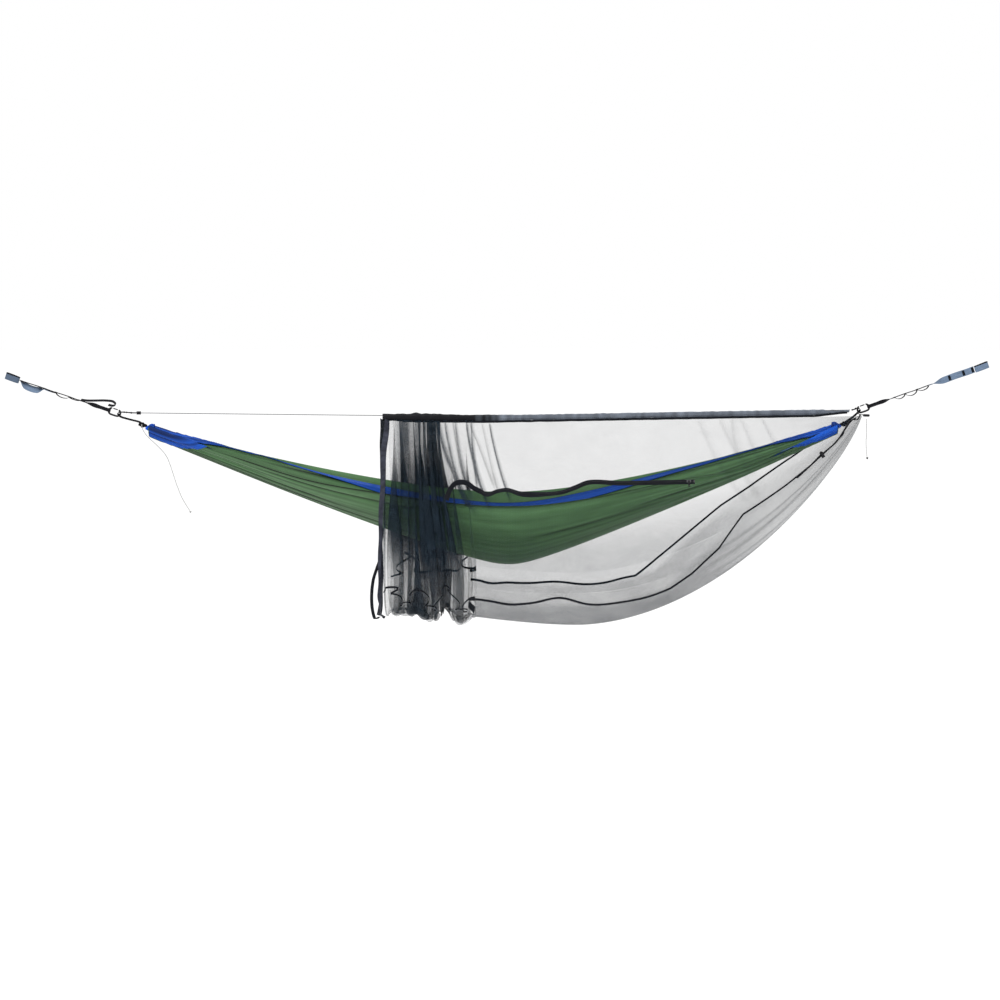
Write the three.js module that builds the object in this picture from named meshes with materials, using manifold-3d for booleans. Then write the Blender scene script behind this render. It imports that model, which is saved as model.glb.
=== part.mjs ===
// Two-person camping hammock on daisy-chain tree straps, with a sliding bug net on its ridgeline.
// Millimetres, +Z up, +X from the left anchor to the right one, -Y towards the side with the zip.
// The origin is where the left tree loop bears on its anchor.
import * as THREE from 'three';
import { mergeVertices } from 'three/addons/utils/BufferGeometryUtils.js';
import Module from 'manifold-3d';

const wasm = await Module();
wasm.setup();

// ---- Driving dimensions ----
const RIGHT_ANCHOR = { x: 3716, z: 42 };
const LEFT_CARABINER = { x: 408, z: -138 };
const RIGHT_CARABINER = { x: 3247, z: -124 };
const LEFT_KNOT = { x: 520, z: -187 };
const RIGHT_KNOT = { x: 3168, z: -183 };

const GAP = 0.4; // between touching pieces
const WEBBING = { width: 25, thick: 2 };
const EYE_WIDTH = 13; // webbing folded narrow where it holds the carabiner
const TREE_LOOP = { length: 52, halfSpan: 13, thick: 2 };
const CARABINER = { straight: 22, radius: 12, wire: 6, gate: 4.4, pin: 1.8 };
const ROPE = 7;
const RIDGELINE = 3;
const TAIL = 2.6;

const HAMMOCK = {
  leftX: 538, rightX: 3150, lowX: 1905, topLeft: -194, topRight: -186,
  bundle: 26, bottomDrop: 498, foldDrop: 277, endHalf: 24, midHalf: 350, thick: 1.2,
};
// how fast the cloth opens from its gathered ends: a larger power fills out sooner
const CLOTH_CURVE = { fold: 1.45, bottom: 1.1, half: 1.7, section: 2.2, lowRound: 0.05 };
const SIDE_PANEL = { gap: 4, thick: 1, fold: 0.07, reach: 0.62, endLift: 9, middleGap: 1.2 };

const RIDGE = { leftX: 478, leftZ: -141, lowX: 1800, lowZ: -155, rightX: 3200, rightZ: -130 };
const SLEEVE = { leftX: 1748, rightX: 3182, above: 4, below: 17, half: 4.5, wall: 1.2 };
const ADJUSTER_X = 500;
const RIDGE_TRIM = { half: 6, thick: 5 };
const NET = {
  leftX: 1748, rightX: 3196, flareX: 2162, tipX: 3245, tipZ: -129, lowZ: -942, mouthLowZ: -912,
  mouthX: 1794, half: 380, thick: 0.6, shoulder: 0.384, corner: 0.8,
  lowCurve: [1.85, 0.8], halfCurve: [2, 0.6],
};
const HEM = { leftX: 1408, rightX: 1436, thick: 1.8 };
const CURTAIN = { leftX: 1440, rightX: 1742 };
const SEAM_WIDTH = 12;
const ZIP = { width: 18, thick: 1.4, off: 8 };
const ZIP_STRAIGHT = { leftX: 2314, rightX: 2590, leftZ: -392, rightZ: -386 };
const LOCK = { x: 3078, off: 17, radius: 7, length: 20 };

// ---- Colours ----
const finish = (color, roughness = 0.8, metalness = 0) => ({ color, roughness, metalness });
const BLACK_WEBBING = finish(0x1b1d21, 0.9);
const GREY_WEBBING = finish(0x8793a2, 0.7);
const GREEN_NYLON = finish(0x4f6f56, 0.55);
const BLUE_NYLON = finish(0x2450c4, 0.5);
const BLACK_NET = finish(0x2c2e32, 0.9);
const SLEEVE_GREY = finish(0x666a72, 0.85);
const WHITE_CORD = finish(0xdcdcd8, 0.8);
const BLACK_CORD = finish(0x18191c, 0.85);
const ALLOY = finish(0x2a2c30, 0.35, 0.9);
const STEEL = finish(0x9a9da2, 0.3, 1);
const PLASTIC = finish(0x151619, 0.5);

// ---- Solids ----
const v = (x, y, z) => new THREE.Vector3(x, y, z);
const mix = (a, b, t) => a + (b - a) * t;
const clamp01 = (t) => Math.min(1, Math.max(0, t));
const steps = (n) => Array.from({ length: n + 1 }, (_, i) => i / n);

// Turns a closed mesh inside out if its volume comes out negative.
function facingOut(geometry) {
  const p = geometry.attributes.position;
  const index = geometry.index.array;
  const a = v(0, 0, 0);
  const b = v(0, 0, 0);
  const c = v(0, 0, 0);
  let volume = 0;
  for (let i = 0; i < index.length; i += 3) {
    a.fromBufferAttribute(p, index[i]);
    b.fromBufferAttribute(p, index[i + 1]);
    c.fromBufferAttribute(p, index[i + 2]);
    volume += a.dot(b.cross(c));
  }
  if (volume < 0) {
    for (let i = 0; i < index.length; i += 3) {
      [index[i], index[i + 1]] = [index[i + 1], index[i]];
    }
  }
  geometry.computeVertexNormals();
  return geometry;
}

// The closed body between two grids of points, rims filled in. With ring, the columns close round.
function slab(front, back, ring = false) {
  const rows = front.length;
  const columns = front[0].length;
  const points = [...front.flat(), ...back.flat()];
  const f = (i, j) => i * columns + (j % columns);
  const k = (i, j) => rows * columns + f(i, j);
  const index = [];
  const quad = (a, b, c, d) => index.push(a, b, c, a, c, d);
  const across = ring ? columns : columns - 1;
  for (let i = 0; i < rows - 1; i++) {
    for (let j = 0; j < across; j++) {
      quad(f(i, j), f(i + 1, j), f(i + 1, j + 1), f(i, j + 1));
      quad(k(i, j), k(i, j + 1), k(i + 1, j + 1), k(i + 1, j));
    }
    if (!ring) {
      quad(f(i, 0), k(i, 0), k(i + 1, 0), f(i + 1, 0));
      quad(f(i, across), f(i + 1, across), k(i + 1, across), k(i, across));
    }
  }
  for (let j = 0; j < across; j++) {
    quad(f(0, j), f(0, j + 1), k(0, j + 1), k(0, j));
    quad(f(rows - 1, j), k(rows - 1, j), k(rows - 1, j + 1), f(rows - 1, j + 1));
  }
  const geometry = new THREE.BufferGeometry().setFromPoints(points);
  geometry.setIndex(index);
  return facingOut(geometry);
}

// Flat webbing along a route: each station has a centre, a width direction and a width.
function webbing(stations, thick = WEBBING.thick) {
  const front = [];
  const back = [];
  stations.forEach(({ at, wide, width }, i) => {
    const before = stations[Math.max(0, i - 1)].at;
    const after = stations[Math.min(stations.length - 1, i + 1)].at;
    const along = after.clone().sub(before).normalize();
    const normal = along.cross(wide).normalize().multiplyScalar(thick / 2);
    const half = wide.clone().multiplyScalar(width / 2);
    const edges = [at.clone().sub(half), at.clone().add(half)];
    front.push(edges.map((p) => p.clone().add(normal)));
    back.push(edges.map((p) => p.clone().sub(normal)));
  });
  return slab(front, back);
}

// Webbing of one width along a smooth curve through a few points, width in one direction.
function band(points, wide, width, count, thick) {
  const curve = new THREE.CatmullRomCurve3(points, false, 'centripetal');
  return webbing(curve.getSpacedPoints(count).map((at) => ({ at, wide, width })), thick);
}

// A round cord along a smooth curve through a few points.
function cord(points, diameter, count, sides = 8) {
  const section = new THREE.Shape();
  for (let i = 0; i < sides; i++) {
    const turn = (2 * Math.PI * i) / sides;
    const x = (Math.cos(turn) * diameter) / 2;
    const y = (Math.sin(turn) * diameter) / 2;
    if (i === 0) section.moveTo(x, y);
    else section.lineTo(x, y);
  }
  section.closePath();
  const extrudePath = new THREE.CatmullRomCurve3(points, false, 'centripetal');
  return new THREE.ExtrudeGeometry(section, { steps: count, extrudePath });
}

function toSolid(geometry) {
  const bare = geometry.clone();
  bare.deleteAttribute('normal');
  bare.deleteAttribute('uv');
  const merged = mergeVertices(bare);
  const vertProperties = new Float32Array(merged.attributes.position.array);
  const triVerts = new Uint32Array(merged.index.array);
  return new wasm.Manifold(new wasm.Mesh({ numProp: 3, vertProperties, triVerts }));
}

// Cuts the other geometries out of the first one.
function cut(geometry, ...others) {
  let solid = toSolid(geometry);
  for (const other of others) solid = solid.subtract(toSolid(other));
  const mesh = solid.getMesh();
  const result = new THREE.BufferGeometry();
  result.setAttribute('position', new THREE.BufferAttribute(new Float32Array(mesh.vertProperties), 3));
  result.setIndex(new THREE.BufferAttribute(new Uint32Array(mesh.triVerts), 1));
  result.computeVertexNormals();
  return result;
}

function mesh(name, geometry, look) {
  const piece = new THREE.Mesh(geometry, new THREE.MeshStandardMaterial(look));
  piece.name = name;
  return piece;
}

// ---- Tree strap, carabiner and rope at one end ----
// Local X runs from the anchor to the carabiner, local Z is up from the strap, local Y across it.
const LOCAL_UP = v(0, 0, 1);
const ACROSS = v(0, 1, 0);

// The end loop's webbing goes round the anchor with its width upright; its bearing face is flat.
function treeLoop() {
  const { length, halfSpan, thick } = TREE_LOOP;
  const t = thick / 2;
  const corner = 4;
  const flat = 6; // half the span of the bearing face
  const route = [
    v(-t, flat, 0), v(-t, halfSpan - corner, 0), v(corner - t, halfSpan - t, 0),
    v(length * 0.6, halfSpan * 0.75, 0), v(length - corner, 3, 0), v(length - t, 0, 0),
    v(length - corner, -3, 0), v(length * 0.6, -halfSpan * 0.75, 0),
    v(corner - t, t - halfSpan, 0), v(-t, corner - halfSpan, 0), v(-t, -flat, 0),
  ];
  const last = route.length;
  const rows = (offset) => route.map((at, i) => {
    const along = route[(i + 1) % last].clone().sub(route[(i + last - 1) % last]);
    const out = along.cross(LOCAL_UP).normalize().multiplyScalar(offset);
    return at.clone().add(out);
  });
  const lift = (points, z) => points.map((p) => v(p.x, p.y, z));
  const edges = [-WEBBING.width / 2, WEBBING.width / 2];
  const outer = edges.map((z) => lift(rows(t), z));
  const inner = edges.map((z) => lift(rows(-t), z));
  return slab(outer, inner, true);
}

// The strap leaves the tree loop with its width upright for faceOn, turns edge-on, and turns back
// into an eye that goes through the carabiner.
function strap(eyeX, faceOn) {
  const start = TREE_LOOP.length + 2;
  const bow = 1.9; // how far the carabiner's round end falls back across the eye's width
  const eyeRadius = (CARABINER.wire + WEBBING.thick + bow) / 2 + 0.8;
  const eyeCentre = eyeX + bow / 2;
  const turn = 60;
  const endX = eyeX - 34;
  const stations = [];
  for (const t of steps(18)) {
    const x = mix(start, endX, t);
    const edgeOn = clamp01((x - faceOn) / turn) * (1 - clamp01((x - endX + turn) / turn));
    const angle = (edgeOn * Math.PI) / 2;
    const wide = v(0, Math.sin(angle), Math.cos(angle));
    const width = mix(WEBBING.width, EYE_WIDTH, clamp01((x - endX + turn) / turn));
    stations.push({ at: v(x, 0, 0), wide, width });
  }
  const sweep = 250;
  for (const t of steps(10)) {
    const angle = THREE.MathUtils.degToRad(mix(-sweep / 2, sweep / 2, t));
    const at = v(eyeCentre + Math.cos(angle) * eyeRadius, Math.sin(angle) * eyeRadius, 0);
    stations.push({ at, wide: LOCAL_UP, width: EYE_WIDTH });
  }
  stations.push({ at: v(eyeX - 16, WEBBING.thick * 0.8 + 1.2, 0), wide: LOCAL_UP, width: EYE_WIDTH });
  stations.push({ at: v(endX - 12, WEBBING.thick + GAP, 0), wide: LOCAL_UP, width: EYE_WIDTH });
  return webbing(stations);
}

// The second webbing, sewn to the strap's underside at each tack and slack between them.
function daisyLoops(tacks, slack) {
  const under = -(WEBBING.thick + GAP + 0.2);
  const reach = 5;
  const stations = [];
  tacks.slice(0, -1).forEach((x0, i) => {
    const x1 = tacks[i + 1];
    const samples = i === tacks.length - 2 ? steps(6) : steps(6).slice(0, -1);
    for (const t of samples) {
      const x = mix(x0, x1, t);
      const open = clamp01(Math.min(x - x0, x1 - x) / reach);
      const droop = Math.sin(Math.PI * t) ** 0.7 * slack[i] * open;
      stations.push({ at: v(x, 0, under - droop), wide: ACROSS, width: WEBBING.width });
    }
  });
  return webbing(stations, 1.6);
}

// The carabiner lies in the strap's upright plane, its gate along the top.
function carabinerRoute() {
  const { straight, radius } = CARABINER;
  const half = straight / 2;
  const route = [v(-half - 2, 0, radius - 0.4)];
  const arc = (centre, from, to) => {
    for (const t of steps(8)) {
      const a = THREE.MathUtils.degToRad(mix(from, to, t));
      route.push(v(centre + radius * Math.cos(a), 0, radius * Math.sin(a)));
    }
  };
  arc(-half, 112, 268);
  arc(half, -88, 68);
  route.push(v(half + 2.2, 0, radius - 0.4));
  return route;
}

function carabiner() {
  return cord(carabinerRoute(), CARABINER.wire, 32);
}

const GATE_PIVOT = v(-CARABINER.straight / 2 + 4.4, 0, CARABINER.radius);
const GATE_LENGTH = 14;

function gate() {
  const bar = new THREE.CapsuleGeometry(CARABINER.gate / 2, GATE_LENGTH, 3, 8, 1);
  bar.rotateZ(Math.PI / 2);
  bar.translate(GATE_PIVOT.x + GATE_LENGTH / 2, 0, GATE_PIVOT.z);
  const bore = new THREE.CylinderGeometry(CARABINER.pin / 2 + 0.1, CARABINER.pin / 2 + 0.1, 10, 12);
  bore.translate(GATE_PIVOT.x, 0, GATE_PIVOT.z);
  return cut(bar, bore);
}

function gatePin() {
  const pin = new THREE.CylinderGeometry(CARABINER.pin / 2, CARABINER.pin / 2, CARABINER.gate + 2, 12);
  return pin.translate(GATE_PIVOT.x, 0, GATE_PIVOT.z);
}

// A rope bight through the carabiner's far end, both strands running back to the gather knot.
function rope(knot) {
  const end = CARABINER.straight / 2;
  const strand = (side) => [
    v(knot.x - 20, side * 4.3, knot.z + 5), v(mix(end, knot.x, 0.45), side * 5, knot.z * 0.5 - 3),
    v(end + 16, side * 6.6, -9), v(end + 11, side * 7.4, -6.4),
  ];
  const bight = [v(end + 5, 5, -3.4), v(end + 3, 0, -2.2), v(end + 5, -5, -3.4)];
  return cord([...strand(1), ...bight, ...strand(-1).reverse()], ROPE, 40);
}

// Small hook from the ridgeline's end into the carabiner, beside the rope.
function ridgeHook(eye) {
  const end = CARABINER.straight / 2;
  const points = [
    v(eye.x, 0, eye.z), v(mix(end, eye.x, 0.6), -2, mix(6, eye.z, 0.6)), v(end + 17, -5.5, 9.5),
    v(end + 10, -6.2, 7), v(end + 5, -3, 4.6), v(end + 3.6, 0.6, 4.2), v(end + 4.2, 4.5, 4.8),
  ];
  return cord(points, 3.6, 16);
}

function endHardware(side, carabinerAt, anchor, knot, ridgeEnd, plan) {
  const mirror = side === 'left' ? 1 : -1;
  const dx = (carabinerAt.x - anchor.x) * mirror;
  const dz = carabinerAt.z - anchor.z;
  const length = Math.hypot(dx, dz);
  const tilt = Math.atan2(-dz, dx);
  const local = (p) => {
    const x = (p.x - carabinerAt.x) * mirror;
    const z = p.z - carabinerAt.z;
    return { x: x * Math.cos(tilt) - z * Math.sin(tilt), z: x * Math.sin(tilt) + z * Math.cos(tilt) };
  };

  const frame = new THREE.Group();
  frame.position.set(anchor.x, 0, anchor.z);
  frame.rotation.z = side === 'left' ? 0 : Math.PI;
  const along = new THREE.Group();
  along.rotation.y = tilt;
  frame.add(along);

  const eyeX = length - CARABINER.straight / 2 - CARABINER.radius;
  along.add(mesh(`tree_loop_${side}`, treeLoop(), GREY_WEBBING));
  along.add(mesh(`strap_${side}`, strap(eyeX, plan.faceOn), BLACK_WEBBING));
  along.add(mesh(`daisy_loops_${side}`, daisyLoops(plan.tacks, plan.slack), GREY_WEBBING));
  if (plan.freeLoop) along.add(mesh(`strap_free_loop_${side}`, plan.freeLoop, BLACK_WEBBING));

  const clip = new THREE.Group();
  clip.position.x = length;
  clip.add(mesh(`carabiner_${side}`, carabiner(), ALLOY));
  clip.add(mesh(`gate_${side}`, gate(), ALLOY));
  clip.add(mesh(`gate_pin_${side}`, gatePin(), STEEL));
  clip.add(mesh(`rope_${side}`, rope(local(knot)), BLACK_CORD));
  clip.add(mesh(`ridge_hook_${side}`, ridgeHook(local(ridgeEnd)), PLASTIC));
  along.add(clip);
  return frame;
}

// ---- Hammock cloth ----
// How far along from an end to the lowest place, 0 to 1, rounded off at that place.
function sagShare(x) {
  const { leftX, rightX, lowX } = HAMMOCK;
  const { lowRound } = CLOTH_CURVE;
  const t = clamp01(x < lowX ? (x - leftX) / (lowX - leftX) : (rightX - x) / (rightX - lowX));
  return 1 - (Math.hypot(1 - t, lowRound) - lowRound) / (Math.hypot(1, lowRound) - lowRound);
}

function hammockSection(x) {
  const h = HAMMOCK;
  const open = (power) => 1 - (1 - sagShare(x)) ** power;
  const top = mix(h.topLeft, h.topRight, (x - h.leftX) / (h.rightX - h.leftX));
  const fold = top - h.foldDrop * open(CLOTH_CURVE.fold);
  const bottom = top - h.bundle - h.bottomDrop * open(CLOTH_CURVE.bottom);
  const half = mix(h.endHalf, h.midHalf, open(CLOTH_CURVE.half));
  return { fold, bottom, half };
}

// A point on the cloth: across is -1 at the near fold and 1 at the far one, in is how far inside.
function clothPoint(x, across, inward) {
  const { fold, bottom, half } = hammockSection(x);
  const power = CLOTH_CURVE.section;
  const depth = fold - bottom;
  const slope = (depth * power * Math.abs(across) ** (power - 1) * Math.sign(across)) / half;
  const length = Math.hypot(1, slope);
  const y = half * across - (slope / length) * inward;
  return v(x, y, bottom + depth * Math.abs(across) ** power + inward / length);
}

function clothStations(from, to, count) {
  // closer together near the ends, where the cloth gathers
  return steps(count).map((t) => mix(from, to, (1 - Math.cos(Math.PI * t)) / 2));
}

function centerPanel() {
  const { leftX, rightX, thick } = HAMMOCK;
  const rows = clothStations(leftX, rightX, 20);
  const grid = (inward) => rows.map((x) => steps(10).map((t) => clothPoint(x, mix(-1, 1, t), inward)));
  return slab(grid(0), grid(thick));
}

// A side panel folds in over the centre panel's edge and lies down inside it.
function sidePanel(side) {
  const { leftX, rightX, thick } = HAMMOCK;
  const { gap, fold, reach, endLift, middleGap } = SIDE_PANEL;
  const rows = clothStations(leftX + 6, rightX - 6, 20);
  const grid = (extra) => rows.map((x) => steps(4).map((t) => {
    const across = side * mix(1 - fold, 1 - reach, t);
    const p = clothPoint(x, across, thick + gap + extra);
    p.z += endLift * (1 - sagShare(x)) ** 6;
    const limit = middleGap + (extra === 0 ? 0 : 0.4);
    p.y = side * Math.max(limit, side * p.y);
    return p;
  }));
  return slab(grid(0), grid(SIDE_PANEL.thick));
}

// The sewn end of the cloth, gathered round the rope, as a short ribbed bundle.
function endChannel() {
  const profile = [
    [0, -1], [9, -1], [13, 3], [11, 7], [13.5, 11], [10, 14], [0, 14],
  ].map(([r, y]) => new THREE.Vector2(r, y));
  return new THREE.LatheGeometry(profile, 14).rotateZ(-Math.PI / 2);
}

function gatherKnot() {
  const profile = [
    [0, -8], [6, -7.5], [9.5, -4], [9, -1], [11, 1], [10.5, 5], [7, 8], [0, 8.5],
  ].map(([r, y]) => new THREE.Vector2(r, y));
  return new THREE.LatheGeometry(profile, 12).rotateZ(-Math.PI / 2);
}

// ---- Ridgeline and its sleeve ----
function ridgeZ(x) {
  const { leftX, leftZ, lowX, lowZ, rightX, rightZ } = RIDGE;
  if (x < lowX) return mix(leftZ, lowZ, (x - leftX) / (lowX - leftX));
  return mix(lowZ, rightZ, (x - lowX) / (rightX - lowX));
}

function ridgeline() {
  const bend = 30; // half the length over which the line turns at its low place
  const places = [RIDGE.leftX + 3, RIDGE.lowX - bend, RIDGE.lowX + bend, RIDGE.rightX - 3];
  return cord(places.map((x) => v(x, 0, ridgeZ(x))), RIDGELINE, 16);
}

// A cloth tunnel round the ridgeline; swell makes the gathered part fuller.
function tunnel(fromX, toX, count, swell) {
  const { above, below, half, wall } = SLEEVE;
  const ring = (x, grow, inset) => {
    const points = [];
    const sides = 10;
    for (let i = 0; i < sides; i++) {
      const a = (2 * Math.PI * i) / sides;
      const up = Math.sin(a) > 0 ? above : below + grow;
      points.push(v(x, Math.cos(a) * (half + grow * 0.7 - inset), ridgeZ(x) + Math.sin(a) * (up - inset)));
    }
    return points;
  };
  const rows = steps(count).map((t, i) => ({ x: mix(fromX, toX, t), grow: swell * (i % 2 ? 1 : 0.6) }));
  return slab(rows.map((r) => ring(r.x, r.grow, 0)), rows.map((r) => ring(r.x, r.grow, wall)), true);
}

function ridgeTrim(fromX, toX, count) {
  const rows = steps(count).map((t) => mix(fromX, toX, t));
  const row = (x, z) => [v(x, -RIDGE_TRIM.half, ridgeZ(x) - z), v(x, RIDGE_TRIM.half, ridgeZ(x) - z)];
  const top = SLEEVE.below + GAP;
  return slab(rows.map((x) => row(x, top)), rows.map((x) => row(x, top + RIDGE_TRIM.thick)));
}

// ---- Bug net ----
function netSection(x) {
  const n = NET;
  const u = clamp01((x - n.flareX) / (n.tipX - n.flareX));
  const closing = ([power, root]) => (1 - u ** power) ** root;
  const mouth = clamp01((n.flareX - x) / (n.flareX - n.mouthX)) ** 2;
  const low = x > n.flareX
    ? mix(n.tipZ, n.lowZ, closing(n.lowCurve))
    : mix(n.lowZ, n.mouthLowZ, mouth);
  const top = ridgeZ(x) - SLEEVE.below - GAP - RIDGE_TRIM.thick - 1.2;
  return { top, low, half: n.half * closing(n.halfCurve) };
}

// Half of the net's section: s runs from the ridge (0) past the shoulder and corner to the floor's
// middle (1). Roof, wall and floor take up these shares of s.
const ROOF_END = 0.35;
const WALL_END = 0.65;

function sectionPoint(x, s) {
  const { top, low, half } = netSection(x);
  const { shoulder, corner } = NET;
  let wide = 1;
  let down;
  if (s < ROOF_END) {
    wide = s / ROOF_END;
    down = shoulder * wide ** 1.25;
  } else if (s < WALL_END) {
    down = mix(shoulder, corner, (s - ROOF_END) / (WALL_END - ROOF_END));
  } else {
    const a = ((s - WALL_END) / (1 - WALL_END)) * (Math.PI / 2);
    wide = Math.cos(a);
    down = corner + (1 - corner) * Math.sin(a);
  }
  return { y: half * wide, z: mix(top, low, down) };
}

function netPoint(x, side, s, out = 0) {
  const nudge = 0.004;
  const a = sectionPoint(x, Math.max(0, s - nudge));
  const b = sectionPoint(x, Math.min(1, s + nudge));
  const p = sectionPoint(x, s);
  const length = Math.hypot(b.y - a.y, b.z - a.z);
  const ny = -(b.z - a.z) / length;
  const nz = (b.y - a.y) / length;
  return v(x, side * (p.y + ny * out), p.z + nz * out);
}

// The place on the section, as s, that is at height z.
function shareAtHeight(x, z) {
  const { top, low } = netSection(x);
  const { shoulder, corner } = NET;
  const down = (top - z) / (top - low);
  if (down < shoulder) return ROOF_END * (down / shoulder) ** 0.8;
  if (down < corner) return mix(ROOF_END, WALL_END, (down - shoulder) / (corner - shoulder));
  const a = Math.asin(Math.min(1, (down - corner) / (1 - corner)));
  return mix(WALL_END, 1, a / (Math.PI / 2));
}

function netStations(fromX, toX, count) {
  // closer together towards the tip, where the net closes in
  return steps(count).map((t) => mix(fromX, toX, Math.sin((Math.PI / 2) * t)));
}

function netWall(side) {
  const rows = netStations(NET.leftX, NET.rightX, 12);
  const shares = steps(7).map((t) => mix(0.014, WALL_END - 0.004, t));
  const grid = (out) => rows.map((x) => shares.map((s) => netPoint(x, side, s, out)));
  return slab(grid(0), grid(-NET.thick));
}

function netFloor() {
  const rows = netStations(NET.leftX, NET.rightX, 12);
  const half = steps(4).map((t) => mix(WALL_END + 0.004, 1, t));
  const grid = (out) => rows.map((x) => [
    ...half.map((s) => netPoint(x, -1, s, out)),
    ...half.slice(0, -1).reverse().map((s) => netPoint(x, 1, s, out)),
  ]);
  return slab(grid(0), grid(-NET.thick));
}

// A ring of the net's section between two stations, for the hem and the bunched part.
function netRing(fromX, toX, count, thick, out) {
  const rows = steps(count).map((t) => mix(fromX, toX, t));
  const half = steps(9).map((t) => mix(0.02, 0.98, t));
  const grid = (offset) => rows.map((x) => [
    ...half.map((s) => netPoint(x, -1, s, offset)),
    ...[...half].reverse().map((s) => netPoint(x, 1, s, offset)),
  ]);
  return slab(grid(out), grid(out - thick), true);
}

// How high above the floor each seam lies at a few stations, as a share of the net's height: level
// at first, then climbing to the tip.
const SEAM_HEIGHTS = {
  near: [[2500, 0.14], [2580, 0.17], [2680, 0.24], [2770, 0.38], [2930, 0.42], [3030, 0.46],
    [3065, 0.5], [3116, 0.52], [3156, 0.59], [3200, 0.8]],
  far: [[2400, 0.14], [2580, 0.27], [2730, 0.38], [2840, 0.43], [3010, 0.53], [3100, 0.6],
    [3195, 0.66], [3228, 0.88]],
};

function seamShare(x, side) {
  const { top, low } = netSection(x);
  const heights = side < 0 ? SEAM_HEIGHTS.near : SEAM_HEIGHTS.far;
  let share = heights[0][1];
  heights.slice(1).forEach(([toX, after], i) => {
    const [fromX, before] = heights[i];
    if (x > fromX) share = mix(before, after, clamp01((x - fromX) / (toX - fromX)));
  });
  return shareAtHeight(x, mix(low, top, share));
}

function seam(side, fromX, toX, count) {
  const rows = netStations(fromX, toX, count);
  const grid = (out) => rows.map((x) => {
    const s = seamShare(x, side);
    const spread = ((SEAM_WIDTH / 2) / (netSection(x).top - netSection(x).low)) * 0.8;
    return [s - spread, s, s + spread].map((share) => netPoint(x, side, share, out));
  });
  return slab(grid(5.6), grid(4));
}

// ---- Zip in the near wall ----
// Wavy from the bunched end, then straight where its slider runs.
const ZIP_WAVE = [[1790, -402], [1824, -424], [1908, -407], [2094, -424], [2147, -407], [2200, -389]];

function onNearWall(x, z, out) {
  return netPoint(x, -1, shareAtHeight(x, z), out);
}

const zipStart = onNearWall(ZIP_STRAIGHT.leftX, ZIP_STRAIGHT.leftZ, ZIP.off);
const zipEnd = onNearWall(ZIP_STRAIGHT.rightX, ZIP_STRAIGHT.rightZ, ZIP.off);
const zipAlong = zipEnd.clone().sub(zipStart).normalize();
const zipMiddle = { x: (ZIP_STRAIGHT.leftX + ZIP_STRAIGHT.rightX) / 2, z: ZIP_STRAIGHT.leftZ };
const zipUp = onNearWall(zipMiddle.x, zipMiddle.z + 9, 0)
  .sub(onNearWall(zipMiddle.x, zipMiddle.z - 9, 0)).projectOnPlane(zipAlong).normalize();
const zipOut = zipAlong.clone().cross(zipUp).normalize(); // away from the net

function zipTape() {
  const wave = new THREE.CatmullRomCurve3([
    ...ZIP_WAVE.map(([x, z]) => onNearWall(x, z, ZIP.off)), zipStart,
  ], false, 'centripetal');
  const at = [...wave.getSpacedPoints(26), ...steps(4).slice(1).map((t) => zipStart.clone().lerp(zipEnd, t))];
  return webbing(at.map((p) => ({ at: p, wide: zipUp, width: ZIP.width })), ZIP.thick);
}

// A frame on the zip: X along it, Y up its tape, Z out from the net.
function zipFrame(distanceFromEnd) {
  const group = new THREE.Group();
  const at = zipEnd.clone().addScaledVector(zipAlong, -distanceFromEnd);
  group.applyMatrix4(new THREE.Matrix4().makeBasis(zipAlong, zipUp, zipOut).setPosition(at));
  return group;
}

const ZIP_FACE = ZIP.thick / 2 + GAP;

function zipParts() {
  const stop = zipFrame(2);
  const stopBar = new THREE.BoxGeometry(4, 9, 2.4).translate(0, 0, ZIP_FACE + 1.2);
  stop.add(mesh('zip_end_stop', stopBar, STEEL));

  const slider = zipFrame(22);
  const body = new THREE.BoxGeometry(16, 11, 3.2).translate(0, 0, ZIP_FACE + 1.6);
  const notch = new THREE.BoxGeometry(18, 4.4, 1.4).translate(0, 0, ZIP_FACE + 0.2);
  slider.add(mesh('zip_slider', cut(body, notch), STEEL));

  // the pull lies down the slope of the net from the slider's face
  const pull = zipFrame(22);
  const lift = ZIP_FACE + 3.2 + 1.8;
  const tab = new THREE.BoxGeometry(7, 32, 1.8).translate(0, -15.2, lift);
  const hole = new THREE.BoxGeometry(3, 6, 4).translate(0, -26, lift);
  pull.add(mesh('zip_pull', cut(tab, hole), PLASTIC));
  return [stop, slider, pull];
}

// ---- Drawcord and its lock at the net's closed end ----
const lockAt = (x) => netPoint(x, -1, seamShare(x, -1), LOCK.off);
const lockLow = lockAt(LOCK.x - 60);
const lockHigh = lockAt(LOCK.x + 50);
const lockAlong = lockHigh.clone().sub(lockLow).normalize();
const lockUp = v(0, 0, 1).projectOnPlane(lockAlong).normalize();
const lockSide = lockUp.clone().cross(lockAlong).normalize();
const STRAND = { diameter: 3, apart: 2.2 };

function drawcord(sign) {
  const shift = lockSide.clone().multiplyScalar(sign * STRAND.apart);
  const line = [-0.4, 0, 0.25, 0.5, 0.75, 1].map((t) => lockLow.clone().lerp(lockHigh, t).add(shift));
  const rise = [3162, 3192].map((x) => netPoint(x, -1, seamShare(x, -1), 12).add(shift));
  const closing = [v(3222, -34, -164), v(3234, -16, -146)].map((p) => p.add(shift));
  return cord([...line, ...rise, ...closing], STRAND.diameter, 20);
}

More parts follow.
